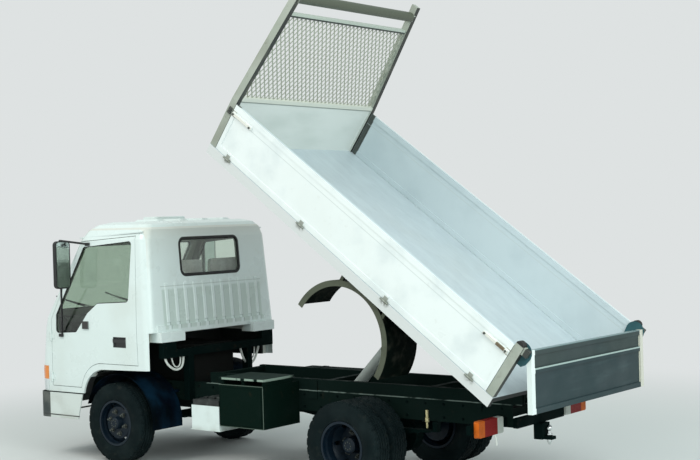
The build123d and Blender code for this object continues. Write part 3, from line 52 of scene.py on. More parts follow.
# Places of the axles, the cab and the tipping bed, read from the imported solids. Metres throughout.
def middle(node):
    """Middle of a node's box."""
    low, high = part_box(node)
    return (low + high) / 2


sides = (("left", 1), ("right", -1))
far = 9.0
front_axle = middle("tyre_front_left")
rear_x = middle("tyres_rear_left").x
front_x = front_axle.x
wheel_z = front_axle.z
tyre_radius = wheel_z
rail_y = 0.375
cab_half = 0.880
cab_front_x = front_x + 1.050
cab_rear_x = front_x - 0.535
screen_foot = Vector((cab_front_x - 0.075, 0, 1.35))
screen_out = Vector((0.828, 0, 0.561))
screen_slope = 0.6776

tip_angle = math.radians(36.1)
bed_along = Vector((math.cos(tip_angle), 0, math.sin(tip_angle)))
bed_across = Vector((0, 1, 0))
bed_up = Vector((-math.sin(tip_angle), 0, math.cos(tip_angle)))
bed_origin = Vector(joints["bed_tip"]["pos_m"]) - 0.120 * bed_along
bed_half = 0.980
bed_length = 3.480
hinge_face = bed_half + 0.0015
drop_hinges = (0.250, 1.208, 2.248, 3.236)
latches = ((0.090, 0.340), (3.145, 3.395))


def row(x, y, z):
    """Point of the vehicle's own frame."""
    return Vector((x, y, z))


def bed(l, y, h):
    """Point of the bed's frame: l along it from its rear edge, y to the left, h up from its underside."""
    return bed_origin + l * bed_along + y * bed_across + h * bed_up


# Making of meshes
def placed(name, data):
    """New object of the scene."""
    made = bpy.data.objects.new(name, data)
    bpy.context.scene.collection.objects.link(made)
    return made


class Shape:
    """Vertices and faces of one piece, gathered before the mesh is made."""

    def __init__(self, place=row):
        self.place = place
        self.points = []
        self.faces = []

    def add(self, points, faces, place=None):
        """Adds points, told in the shape's frame or in another, and the faces between them."""
        base = len(self.points)
        self.points += [(place or self.place)(*p) for p in points]
        self.faces += [[base + i for i in face] for face in faces]

    def plate(self, front, back):
        """Two equal outlines joined to a closed plate."""
        count = len(front)
        rim = [[i, (i + 1) % count, count + (i + 1) % count, count + i] for i in range(count)]
        self.add([*front, *back], [list(range(count)), list(reversed(range(count, 2 * count)))] + rim)

    def block(self, x0, x1, y0, y1, z0, z1, taper):
        """Box, drawn in by taper towards its top."""
        foot, top = ([(x, y, z) for x, y in ((x0 + t, y0 + t), (x1 - t, y0 + t), (x1 - t, y1 - t), (x0 + t, y1 - t))]
                     for z, t in ((z0, 0.0), (z1, taper)))
        self.plate(foot, top)

    def turned(self, profile, centre, axis, segments, wave=None):
        """Profile of (distance along, radius) turned about an axis; wave changes a radius by its angle."""
        axis = Vector(axis).normalized()
        side = axis.orthogonal().normalized()
        other = axis.cross(side)
        centre = Vector(centre)
        points = []
        for step in range(segments):
            angle = 2 * math.pi * step / segments
            out = math.cos(angle) * side + math.sin(angle) * other
            for index, (along, radius) in enumerate(profile):
                grown = wave(step, index, radius) if wave else radius
                points.append(centre + along * axis + grown * out)
        count = len(profile)
        faces = []
        for step in range(segments):
            a, b = step * count, (step + 1) % segments * count
            faces += [(a + i, b + i, b + i + 1, a + i + 1) for i in range(count - 1)]
        if profile[0][1] > 0 and profile[0] != profile[-1]:
            faces.append([step * count for step in range(segments)])
            faces.append([step * count + count - 1 for step in reversed(range(segments))])
        self.add(points, faces, row)

    def swept(self, path, section, outward, closed=False):
        """Section of (across, out) points carried along a path, its out side kept towards outward."""
        count = len(path)
        size = len(section)
        points = []
        for i, point in enumerate(path):
            before = path[i - 1] if closed or i else path[i]
            after = path[(i + 1) % count] if closed or i < count - 1 else path[i]
            run = (after - before).normalized()
            across = run.cross(outward).normalized()
            out = across.cross(run).normalized()
            points += [point + a * across + o * out for a, o in section]
        faces = []
        for i in range(count if closed else count - 1):
            a, b = i * size, (i + 1) % count * size
            faces += [(a + j, a + (j + 1) % size, b + (j + 1) % size, b + j) for j in range(size)]
        if not closed:
            faces += [list(reversed(range(size))), [(count - 1) * size + j for j in range(size)]]
        self.add(points, faces, row)

    def rod(self, path, radius):
        """Round rod along a path that bends in one plane."""
        ring = [(radius * math.cos(a), radius * math.sin(a)) for a in (math.pi * i / 4 for i in range(8))]
        self.swept(path, ring, path_side(path))

    def stud(self, foot, axis, start, end, radius, bevel, segments):
        """Stud from start to end along an axis; bevel gives the chamfer of its end, (along, inward)."""
        along, inward = bevel
        profile = [(start, radius), (end - along, radius), (end, radius - inward), (end, 0.0)]
        self.turned(profile, foot, axis, segments)

    def bolt(self, foot, axis, radius, height):
        """Hexagon head on a round washer."""
        washer = 1.35 * radius
        self.turned([(0, washer), (0.25 * height, washer), (0.25 * height, 0.4 * radius)], foot, axis, 12)
        self.stud(foot, axis, 0.2 * height, height, radius, (0.15 * height, 0.25 * radius), 6)

    def make(self, name, material, body, slot, bevel=0.0, smooth=35.0, replaces=()):
        """Turns what was gathered into a piece that rides on a body."""
        mesh = bpy.data.meshes.new(name)
        mesh.from_pydata(self.points, [], self.faces)
        work = bmesh.new()
        work.from_mesh(mesh)
        bmesh.ops.remove_doubles(work, verts=work.verts, dist=1e-6)
        bmesh.ops.recalc_face_normals(work, faces=work.faces)
        work.to_mesh(mesh)
        work.free()
        piece = placed(name, mesh)
        mesh.materials.append(material)
        if bevel:
            edge = piece.modifiers.new("edge", "BEVEL")
            edge.width = bevel
            edge.segments = 2
            edge.limit_method = "ANGLE"
            edge.angle_limit = math.radians(40)
        mesh.shade_smooth()
        mesh.set_sharp_from_angle(angle=math.radians(smooth))
        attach(piece, body)
        for node in replaces:
            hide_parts(node)


def path_side(path):
    """A direction square to the plane that a bent path lies in."""
    crosses = ((b - a).cross(c - b) for a, b, c in zip(path, path[1:], path[2:]))
    return next(side.normalized() for side in crosses if side.length > 1e-9)


def rounded(path, radius, closed=False):
    """Path with its corners rounded."""
    result = []
    count, steps = len(path), 5
    for i, point in enumerate(path):
        if not closed and i in (0, count - 1):
            result.append(point)
            continue
        before = path[i - 1] - point
        after = path[(i + 1) % count] - point
        reach = min(radius, before.length / 2.2, after.length / 2.2)
        start = point + before.normalized() * reach
        end = point + after.normalized() * reach
        for step in range(steps + 1):
            t = step / steps
            result.append((1 - t) ** 2 * start + 2 * t * (1 - t) * point + t * t * end)
    return result


# Procedural materials
def srgb(red, green, blue):
    """Linear colour of a screen colour given from 0 to 255."""
    return tuple(((v / 255 + 0.055) / 1.055) ** 2.4 if v > 10 else v / 255 / 12.92 for v in (red, green, blue)) + (1,)


class Nodes:
    """A tree of shader nodes under construction."""

    def __init__(self, owner):
        owner.use_nodes = True
        self.tree = owner.node_tree

    def node(self, kind, inputs=None, **settings):
        """Adds a shader node; inputs gives the value, or the output to link, of each socket."""
        made = self.tree.nodes.new("ShaderNode" + kind)
        for key, value in settings.items():
            setattr(made, key, value)
        for key, value in (inputs or {}).items():
            self.join(value, made.inputs[key])
        return made

    def join(self, source, socket):
        """Links an output to a socket, or writes a plain value on it."""
        if isinstance(source, bpy.types.NodeSocket):
            self.tree.links.new(source, socket)
        else:
            socket.default_value = source

    def math(self, operation, a, b=0.0):
        """Result of one operation on two values."""
        return self.node("Math", {0: a, 1: b}, operation=operation).outputs[0]

    def times(self, product, *factors):
        """Product of all values."""
        for factor in factors:
            product = self.math("MULTIPLY", product, factor)
        return product

    def step(self, value, low, high, top=1.0):
        """0 below low, top above high, smooth between."""
        return self.node("MapRange", {"Value": value, "From Min": low, "From Max": high, "To Max": top},
                         interpolation_type="SMOOTHSTEP").outputs[0]

    def between(self, value, low, high, edge=0.002):
        """1 from low to high, 0 outside them."""
        return self.times(self.step(value, low - edge, low + edge), self.step(value, high + edge, high - edge))


class Surface(Nodes):
    """A material under construction: colour layers, roughness and relief on one shader."""

    def __init__(self, name, colour, rough, metal=0.0, **fixed):
        self.material = bpy.data.materials.new(name)
        super().__init__(self.material)
        self.shader = self.tree.nodes["Principled BSDF"]
        self.place = self.node("TexCoord").outputs["Object"]
        self.colour = srgb(*colour)
        self.rough = rough
        fixed.update(Base_Color=self.colour, Roughness=rough, Metallic=metal)
        for key, value in fixed.items():
            self.feed(key.replace("_", " "), value)

    def feed(self, name, source):
        """Gives the shader's input a value or an output."""
        self.join(source, self.shader.inputs[name])

    def noise(self, scale, detail, stretch=(1, 1, 1)):
        """Clouds; a stretch over 1 makes them shorter along its axis."""
        moved = self.node("Mapping", {"Vector": self.place, "Scale": stretch}).outputs[0]
        return self.node("TexNoise", {"Vector": moved, "Scale": scale, "Detail": detail}).outputs["Fac"]

    def dot(self, vector, direction):
        """Length of a vector along a direction."""
        return self.node("VectorMath", {0: vector, 1: tuple(direction)}, operation="DOT_PRODUCT").outputs["Value"]

    def along(self, direction, origin):
        """Distance along a direction from a point."""
        apart = self.node("VectorMath", {0: self.place, 1: tuple(origin)}, operation="SUBTRACT")
        return self.dot(apart.outputs[0], direction)

    def facing(self, direction, low=0.8, high=0.9):
        """1 on surfaces that face a direction of the vehicle's frame."""
        return self.step(self.dot(self.node("TexCoord").outputs["Normal"], direction), low, high)

    def axis(self, name):
        """A coordinate of the vehicle's frame."""
        return self.node("SeparateXYZ", {0: self.place}).outputs[name]

    def sideways(self):
        """Distance from the vehicle's middle plane."""
        return self.math("ABSOLUTE", self.axis("Y"))

    def within(self, mirrored=False, edge=0.002, **ranges):
        """1 inside the ranges of X, Y and Z that are given, 0 outside; mirrored takes Y for both sides."""
        return self.times(*(self.between(self.sideways() if mirrored and name == "Y" else self.axis(name),
                                         low, high, edge) for name, (low, high) in ranges.items()))

    def layer(self, colour, factor, rough=None):
        """Lays another colour over the ones before it."""
        self.colour = self.node("Mix", {"Factor": factor, 6: self.colour, 7: srgb(*colour)},
                                data_type="RGBA").outputs[2]
        self.feed("Base Color", self.colour)
        if rough is not None:
            self.rough = self.node("Mix", {"Factor": factor, 2: self.rough, 3: rough}, data_type="FLOAT").outputs[0]
            self.feed("Roughness", self.rough)
        return self

    def uneven(self, low, high, scale):
        """Roughness that wanders between two values."""
        self.rough = self.node("MapRange", {"Value": self.noise(scale, 4), "From Min": 0.3, "From Max": 0.7,
                                            "To Min": low, "To Max": high}).outputs[0]
        self.feed("Roughness", self.rough)
        return self

    def relief(self, height, depth):
        """Bump of a given depth from a height between 0 and 1."""
        self.feed("Normal", self.node("Bump", {"Distance": depth, "Height": height}).outputs["Normal"])
        return self

    def dirt(self, colour, amount, scale=3.0, low=0.45, high=0.75, stretch=(1, 1, 1), rough=None):
        """Cloudy film of another colour."""
        return self.layer(colour, self.step(self.noise(scale, 6, stretch), low, high, amount), rough)

    def grime_below(self, colour, z0, z1, amount):
        """Road dirt that grows towards the ground."""
        fall = self.step(self.axis("Z"), z1, z0, amount)
        return self.layer(colour, self.times(fall, self.step(self.noise(5, 6), 0.25, 0.65)), 0.8)


def plain(name, colour, rough, spread, films, relief, metal=0.0, **fixed):
    """One colour with uneven gloss, films of dirt and a fine relief, given as (depth, scale, detail)."""
    s = Surface(name, colour, rough, metal, **fixed)
    s.uneven(*spread)
    for film in films:
        s.dirt(*film)
    depth, *grain = relief
    return s.relief(s.noise(*grain), depth)


def inside_cab(s, depth=0.030):
    """1 for what lies within the cab's walls, from planes set a little inside its outer skin."""
    height = s.axis("Z")
    lean = s.times(s.math("MAXIMUM", s.math("SUBTRACT", height, screen_foot.z), 0.0), 0.042)
    side = s.step(s.math("ADD", s.sideways(), lean), cab_half - depth - 0.003, cab_half - depth - 0.005)
    screen = s.step(s.along(screen_out, screen_foot), -depth, -depth - 0.002)
    nose = s.step(s.axis("X"), cab_front_x - depth - 0.045, cab_front_x - depth - 0.050)
    rear = s.step(s.axis("X"), cab_rear_x + depth + 0.010, cab_rear_x + depth + 0.072)
    roof = s.step(height, 2.225, 2.215)
    floor = s.step(height, 0.80, 0.82)
    return s.times(side, screen, nose, rear, roof, floor)


def bed_height(s):
    """Height over the bed's underside."""
    return s.along(bed_up, bed_origin)


def bed_patch(s, l0, l1, h0, h1, edge=0.003):
    """1 inside a rectangle of the bed's side view, l along it and h up from its underside."""
    return s.times(s.between(s.along(bed_along, bed_origin), l0, l1, edge), s.between(bed_height(s), h0, h1, edge))


def hinge_stains(s):
    """Dark smudges round the hinges along the bed's lower edge."""
    cloud = s.times(s.step(s.noise(38, 4), 0.36, 0.58), s.step(s.sideways(), bed_half - 0.012, bed_half - 0.010))
    for hinge_l in drop_hinges:
        patch = bed_patch(s, hinge_l - 0.045, hinge_l + 0.035, 0.050, 0.100, 0.018)
        s.layer((112, 116, 106), s.times(patch, cloud, 0.85), 0.7)
    return s


def hinge_knuckles(s, where):
    """Grey of the drop sides' hinges, which stand out past the bed's side."""
    s.layer((128, 132, 122), s.times(s.between(s.sideways(), hinge_face, far), where, 0.9), 0.6)


def cab_skin(name):
    """Pale paint of the cab and its doors."""
    s = Surface(name, (216, 228, 226), 0.28, Coat_Weight=0.35, Coat_Roughness=0.12)
    s.uneven(0.22, 0.38, 4)
    s.relief(s.noise(260, 2), 0.00004)
    return s.dirt((196, 204, 196), 0.35, 2.2)


def cab_paint():
    """Cab: painted outside, dull inside, dark underneath."""
    s = cab_skin("cab_paint")
    s.dirt((176, 180, 170), 0.25, 9, 0.55, 0.8)
    s.grime_below((168, 166, 156), 0.60, 0.85, 0.25)
    # painted shade in the hollows between the rear wall's ribs, and a darker line of painted shade along one side of
    # each rib
    pitch, rib_half = 0.125, 0.023
    share = s.math("FRACT", s.math("ADD", s.math("DIVIDE", s.axis("Y"), pitch), 0.5))
    gap = s.times(s.math("SUBTRACT", share, 0.5), pitch)
    wall = s.within(edge=0.012, X=(cab_rear_x - 0.03, cab_rear_x + 0.09), Y=(-0.685, 0.685), Z=(1.262, 1.635))
    hollow_shade = s.step(s.math("ABSOLUTE", gap), rib_half - 0.003, rib_half + 0.003)
    s.layer((184, 200, 192), s.times(wall, hollow_shade, 0.75))
    rib_side_shade = s.step(s.math("ABSOLUTE", s.math("ADD", gap, rib_half - 0.003)), 0.008, 0.003)
    s.layer((138, 156, 150), s.times(wall, rib_side_shade, 0.8))
    belt = s.within(edge=0.003, X=(cab_rear_x - 0.03, cab_rear_x + 0.06), Y=(-0.70, 0.70), Z=(1.660, 1.668))
    s.layer((176, 190, 184), s.times(belt, 0.8))
    # painted shade: a grey line on the downward faces under each rain gutter
    gutter = s.within(True, X=(cab_rear_x, far), Y=(0.79, far), Z=(2.05, far))
    s.layer((70, 80, 78), s.times(s.facing((0, 0, -1), 0.5, 0.8), gutter), 0.6)
    s.layer((206, 208, 200), s.times(inside_cab(s), 0.9), 0.75)
    s.layer((18, 20, 20), s.within(X=(front_x - 0.52, cab_front_x - 0.05), Y=(-0.86, 0.86), Z=(0.5, 0.80)), 0.8)
    return s.layer((12, 18, 17), s.within(X=(front_x - 0.50, front_x + 0.45), Y=(-0.80, 0.80), Z=(0.78, 1.14)), 0.8)


def door_paint(side):
    """Door: painted outside, grey inside, with a dark handle recess and a side lamp."""
    s = cab_skin("door_paint_" + side)
    s.grime_below((168, 166, 156), 0.64, 0.85, 0.25)
    s.layer((150, 152, 146), inside_cab(s, 0.020), 0.75)
    handle = s.within(True, X=(front_x - 0.212, front_x - 0.037), Y=(0.85, 0.90), Z=(1.098, 1.197))
    s.layer((20, 22, 22), handle, 0.5)
    lamp = s.within(True, X=(front_x + 0.295, front_x + 0.379), Y=(0.8815, 0.90), Z=(1.261, 1.337))
    return s.layer((34, 32, 30), lamp, 0.3)


def chassis_paint(name="chassis_paint", colour=(5, 18, 17), rough=0.6):
    """Dark paint of the frame, dusty and a little rusty."""
    return plain(name, colour, rough, (rough - 0.12, rough + 0.25, 8),
                 (((24, 34, 32), 0.4, 3.5, 0.45, 0.8, (0.6, 1, 1.4), 0.85), ((50, 40, 30), 0.3, 14, 0.62, 0.8)),
                 (0.0006, 60, 4), Specular_IOR_Level=0.02)


def rail_paint():
    """Frame and subframe: black, with a patchy painted highlight along the edge where one lies on the other."""
    s = chassis_paint("rail_paint", (15, 28, 25))
    # painted highlight, in patches, along the edge where the subframe lies on the frame
    edge_highlight = s.within(True, 0.0015, X=(-far, rear_x + 2.0), Y=(0.365, 0.39), Z=(0.741, 0.749))
    return s.layer((112, 126, 120), s.times(edge_highlight, s.step(s.noise(7, 4, (1, 1, 0.1)), 0.35, 0.55)), 0.5)


def liner_skin():
    """Splash guards: black rubber with a blue-green cast and cloudy patches of painted blue-green highlight."""
    s = chassis_paint("liner_skin", (5, 12, 22), 0.5)
    # cloudy patches of painted blue-green highlight
    s.dirt((14, 40, 58), 0.7, 5, 0.42, 0.7, (1, 1, 0.5))
    return s.dirt((3, 8, 9), 0.8, 3, 0.45, 0.6, (1, 1, 0.6))


def box_paint():
    """Tool box: near black, painted highlights along its edges, greenish slats on top."""
    s = chassis_paint("box_paint", (9, 25, 20), 0.5)
    low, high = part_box("tool_box")
    top = high.z - 0.060
    shelf = s.step(s.axis("Z"), top + 0.035, top + 0.040)
    level = s.facing((0, 0, 1), 0.5, 0.7)
    s.layer((38, 50, 46), s.times(shelf, level), 0.7)
    slats = s.times(s.step(s.noise(6.0, 1, (2.0, 0.2, 0.2)), 0.44, 0.50), s.math("SUBTRACT", 1.0, level))
    s.layer((134, 152, 140), s.times(shelf, slats), 0.6)
    # painted highlights along the rear, lower and top edges of the box's outer side
    rims = ((low.x + 0.005, -far, top - 0.01), (far, -far, low.z + 0.005), (far, top - 0.005, top + 0.001))
    for x1, z0, z1 in rims:
        edge = s.within(edge=0.0015, X=(-far, x1), Y=(high.y - 0.009, far), Z=(z0, z1))
        s.layer((104, 118, 108), s.times(edge, 0.75), 0.5)
    return s


def bed_paint(name, colour, dirt, rough=0.35):
    """Paint of the bed's parts and the hoist."""
    return plain(name, colour, rough, (rough - 0.08, rough + 0.12, 5),
                 (((190, 194, 186), dirt, 2.0, 0.4, 0.75), ((128, 118, 100), dirt * 0.8, 20, 0.62, 0.85)),
                 (0.0001, 140, 3), Coat_Weight=0.2, Coat_Roughness=0.2)


def bed_metal():
    """Worn aluminium sheet: dull, streaked along the bed, scuffed bright and dark, black underneath."""
    lay = (1.2, 4.0, 1.2)
    s = plain("bed_metal", (180, 192, 197), 0.42, (0.34, 0.55, 3),
              (((190, 202, 206), 0.6, 2.5, 0.4, 0.7, lay), ((156, 170, 175), 0.35, 6, 0.5, 0.8, lay),
               ((170, 172, 164), 0.2, 1.4, 0.5, 0.8)), (0.0016, 18, 5, lay), 0.1)
    height = bed_height(s)
    s.layer((22, 26, 26), s.step(height, 0.0845, 0.0825), 0.7)
    hinge_knuckles(s, 1.0)
    rails = s.between(s.sideways(), bed_half - 0.0007, hinge_face)
    s.layer((236, 240, 239), s.times(rails, s.step(height, -0.01, 0.0)), 0.4)
    return hinge_stains(s)


def guard_paint():
    """Mudguards: black within, a light edge strip outside."""
    s = Surface("guard_paint", (4, 12, 9), 0.6, Specular_IOR_Level=0.03)
    s.dirt((24, 32, 27), 0.4, 5, 0.45, 0.8)
    s.layer((84, 88, 76), s.between(s.sideways(), 0.9290, far), 0.5)
    s.dirt((58, 58, 50), 0.4, 12, 0.45, 0.75)
    return s.relief(s.noise(60, 4), 0.0005)


def post_paint():
    """Beige-grey posts, with painted shade where their open channels face the rear; white sheet and a dark top bar.
    """
    s = bed_paint("post_paint", (146, 153, 142), 0.35, 0.5)
    height = bed_height(s)
    along_bed = s.along(bed_along, bed_origin)
    across = s.sideways()
    # the headboard's sides lean inwards above its sheet
    lean = s.times(s.math("MAXIMUM", s.math("SUBTRACT", height, 0.555), 0.0), 0.1156)
    width = s.math("ADD", across, lean)
    # painted shade on the faces of the posts that face the rear
    s.layer((34, 38, 35), s.times(s.step(width, 0.928, 0.930), s.facing(-bed_along)), 0.6)
    s.dirt((112, 112, 98), 0.45, 7, 0.45, 0.75, (0.5, 1, 0.5))
    s.dirt((86, 78, 64), 0.35, 26, 0.6, 0.8)
    rear_face = s.step(across, 0.931, 0.929)
    sheet = s.times(rear_face, s.step(height, 0.5552, 0.5548), s.step(along_bed, 3.40, 3.41))
    s.layer((206, 212, 208), sheet, 0.4)
    s.layer((176, 186, 180), s.times(sheet, s.step(s.noise(2.2, 4, (1.4, 0.5, 1.4)), 0.40, 0.72, 0.55)), 0.5)
    s.layer((200, 204, 194), s.times(rear_face, s.between(height, 0.555, 0.591, 0.001)), 0.5)
    s.layer((140, 148, 142), s.times(sheet, s.step(height, 0.538, 0.543)), 0.5)
    top_rail = s.times(s.between(height, 1.385, 1.435, 0.005), s.step(width, 0.926, 0.924))
    s.layer((168, 178, 168), top_rail, 0.5)
    # painted shade on the lower half of the mesh frame's top rail
    s.layer((44, 52, 48), s.times(top_rail, s.step(height, 1.412, 1.410)), 0.6)
    # ears behind the bed's rear edge, and the bar across the headboard's top
    s.layer((46, 50, 46), s.step(along_bed, -0.0115, -0.0125), 0.5)
    return s.layer((70, 76, 62), s.times(s.step(height, 1.50, 1.51), s.step(width, 0.930, 0.928)), 0.5)


def side_paint():
    """Drop sides: white outside, bluish grey inside like the bed's floor, painted shade along a pressed line below
    the top edge and in a strip inside at the front end.
    """
    s = bed_paint("side_paint", (224, 231, 230), 0.15)
    across = s.sideways()
    height = bed_height(s)
    inner = s.step(across, bed_half - 0.006, bed_half - 0.008)
    s.layer((190, 202, 206), inner, 0.42)
    s.dirt((166, 180, 185), 0.3, 3, 0.45, 0.75, (1.2, 4.0, 1.2))
    # painted shade: a dark strip on the inner face at the front end, where the side meets the headboard's post
    s.layer((66, 72, 68), s.times(inner, bed_patch(s, 3.352, 3.405, 0.06, 0.56, 0.006)), 0.6)
    # painted shade along the pressed line below the top edge
    s.layer((176, 186, 184), s.times(s.between(height, 0.4265, 0.4325, 0.0015), 0.6))
    # latch levers, each in an outlined recess
    lever = s.times(s.step(across, bed_half + 0.001, bed_half + 0.003), s.step(height, 0.40, 0.41))
    s.layer((214, 214, 206), lever, 0.5)
    s.layer((98, 84, 62), s.times(lever, bed_patch(s, 0.120, 0.205, 0.40, 0.50)), 0.6)
    hinge_knuckles(s, s.step(height, 0.13, 0.12))
    hinge_stains(s)
    for l0, l1 in latches:
        ring = s.math("SUBTRACT", bed_patch(s, l0 - 0.016, l1 + 0.016, 0.424, 0.478, 0.002),
                      bed_patch(s, l0 - 0.008, l1 + 0.008, 0.432, 0.470, 0.002))
        s.layer((142, 136, 116), s.times(ring, s.step(across, bed_half - 0.004, bed_half - 0.002), 0.75), 0.7)
    return s


def gate_metal():
    """Tailgate: grey streaked band above a bright line of painted highlight, teal-grey sheet below darkened as a
    painted reflection of dark surroundings, white end stiles.
    """
    # the dark teal-grey base is partly the metal's own tone and partly a painted reflection of dark surroundings
    s = Surface("gate_metal", (18, 44, 48), 0.5, 0.15)
    s.uneven(0.42, 0.62, 3)
    low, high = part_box("tailgate")
    line_z = high.z - 0.30 * (high.z - low.z)
    height = s.axis("Z")
    s.layer((38, 54, 53), s.step(height, line_z - 0.001, line_z + 0.001))
    s.dirt((22, 44, 50), 0.5, 3, 0.4, 0.7, (1, 0.4, 2))
    s.dirt((66, 88, 90), 0.3, 7, 0.5, 0.8, (1, 0.3, 2))
    # painted highlight along the rib line across the gate
    s.layer((150, 170, 166), s.between(height, line_z - 0.006, line_z + 0.006), 0.35)
    s.layer((104, 126, 128), s.between(height, high.z - 0.006, far), 0.35)
    s.layer((214, 224, 222), s.between(s.axis("Y"), 0.868, far), 0.4)
    s.layer((196, 196, 184), s.between(s.axis("Y"), -far, -0.868), 0.4)
    return s.relief(s.noise(30, 4, (1, 0.3, 2)), 0.0008)


def plain_metal(name, colour, rough, metal, dirt=(60, 56, 48)):
    """Bare or thinly painted metal."""
    return plain(name, colour, rough, (max(0.05, rough - 0.08), rough + 0.15, 14), ((dirt, 0.4, 12, 0.5, 0.8),),
                 (0.0002, 120, 3), metal)


def plastic(name, colour, rough=0.45):
    """Plastic with a film of its own colour, faded."""
    faded = tuple(v * 0.6 + 40 for v in colour)
    return plain(name, colour, rough, (rough - 0.08, rough + 0.12, 10), ((faded, 0.25, 5),), (0.00008, 420, 2))


def glass_pane(name, tint):
    """Clear glass with a little dust."""
    s = Surface(name, tint, 0.02, Transmission_Weight=1.0, IOR=1.45, Specular_IOR_Level=0.5)
    return s.dirt((150, 160, 150), 0.25, 3, 0.5, 0.8).uneven(0.01, 0.08, 3)


def ribbed(s, scale, depth, colour, amount):
    """Upright ribs pressed into a lamp's lens."""
    wave = s.node("TexWave", {"Scale": scale, "Vector": s.place}, wave_type="BANDS", bands_direction="Y")
    ribs = wave.outputs["Fac"]
    s.relief(ribs, depth)
    s.layer(colour, s.times(ribs, amount))


def lamp_lens():
    """Head lamps: clear, amber at the outer end."""
    s = Surface("front_lens", (214, 222, 222), 0.12, Coat_Weight=0.6)
    ribbed(s, 28.0, 0.003, (150, 164, 168), 0.5)
    s.layer((222, 128, 40), s.within(True, Y=(0.7565, far), Z=(0.755, 2)))
    return s.dirt((130, 128, 118), 0.25, 6)


def tail_lens():
    """Tail lamps: red, amber outside, white inside."""
    s = Surface("tail_lens", (134, 12, 10), 0.4, Specular_IOR_Level=0.15)
    across = s.sideways()
    s.layer((204, 98, 20), s.step(across, 0.768, 0.771))
    s.layer((196, 204, 196), s.step(across, 0.587, 0.584))
    ribbed(s, 60.0, 0.002, (60, 20, 18), 0.25)
    return s.dirt((60, 40, 34), 0.3, 8)


def seat_cloth():
    """Pale woven cloth."""
    s = Surface("seat_cloth", (226, 232, 224), 0.9, Sheen_Weight=0.3)
    weave = s.node("TexVoronoi", {"Scale": 420.0, "Vector": s.place})
    s.relief(weave.outputs["Distance"], 0.0006)
    s.dirt((198, 204, 194), 0.6, 40, 0.4, 0.7)
    return s.dirt((204, 202, 184), 0.4, 4)


def battery_case():
    """Battery box: white below, black lid."""
    s = Surface("battery_case", (214, 226, 224), 0.5)
    s.uneven(0.4, 0.6, 8)
    s.layer((24, 27, 27), s.step(s.axis("Z"), 0.618, 0.622), 0.5)
    s.dirt((170, 176, 170), 0.3, 7, 0.45, 0.8)
    s.grime_below((140, 140, 128), 0.39, 0.45, 0.5)
    return s.relief(s.noise(160, 3), 0.0002)


def bumper_plastic():
    """Front bumper: pale, with a grey face and a dark line."""
    s = Surface("bumper_plastic", (206, 214, 210), 0.42)
    s.uneven(0.34, 0.52, 6)
    s.layer((52, 60, 60), s.step(s.axis("X"), front_x + 0.868, front_x + 0.872), 0.6)
    s.layer((36, 42, 42), s.between(s.axis("Z"), 0.408, 0.420), 0.6)
    s.grime_below((150, 150, 140), 0.36, 0.46, 0.4)
    s.dirt((160, 160, 150), 0.25, 5)
    return s.relief(s.noise(200, 2), 0.0001)


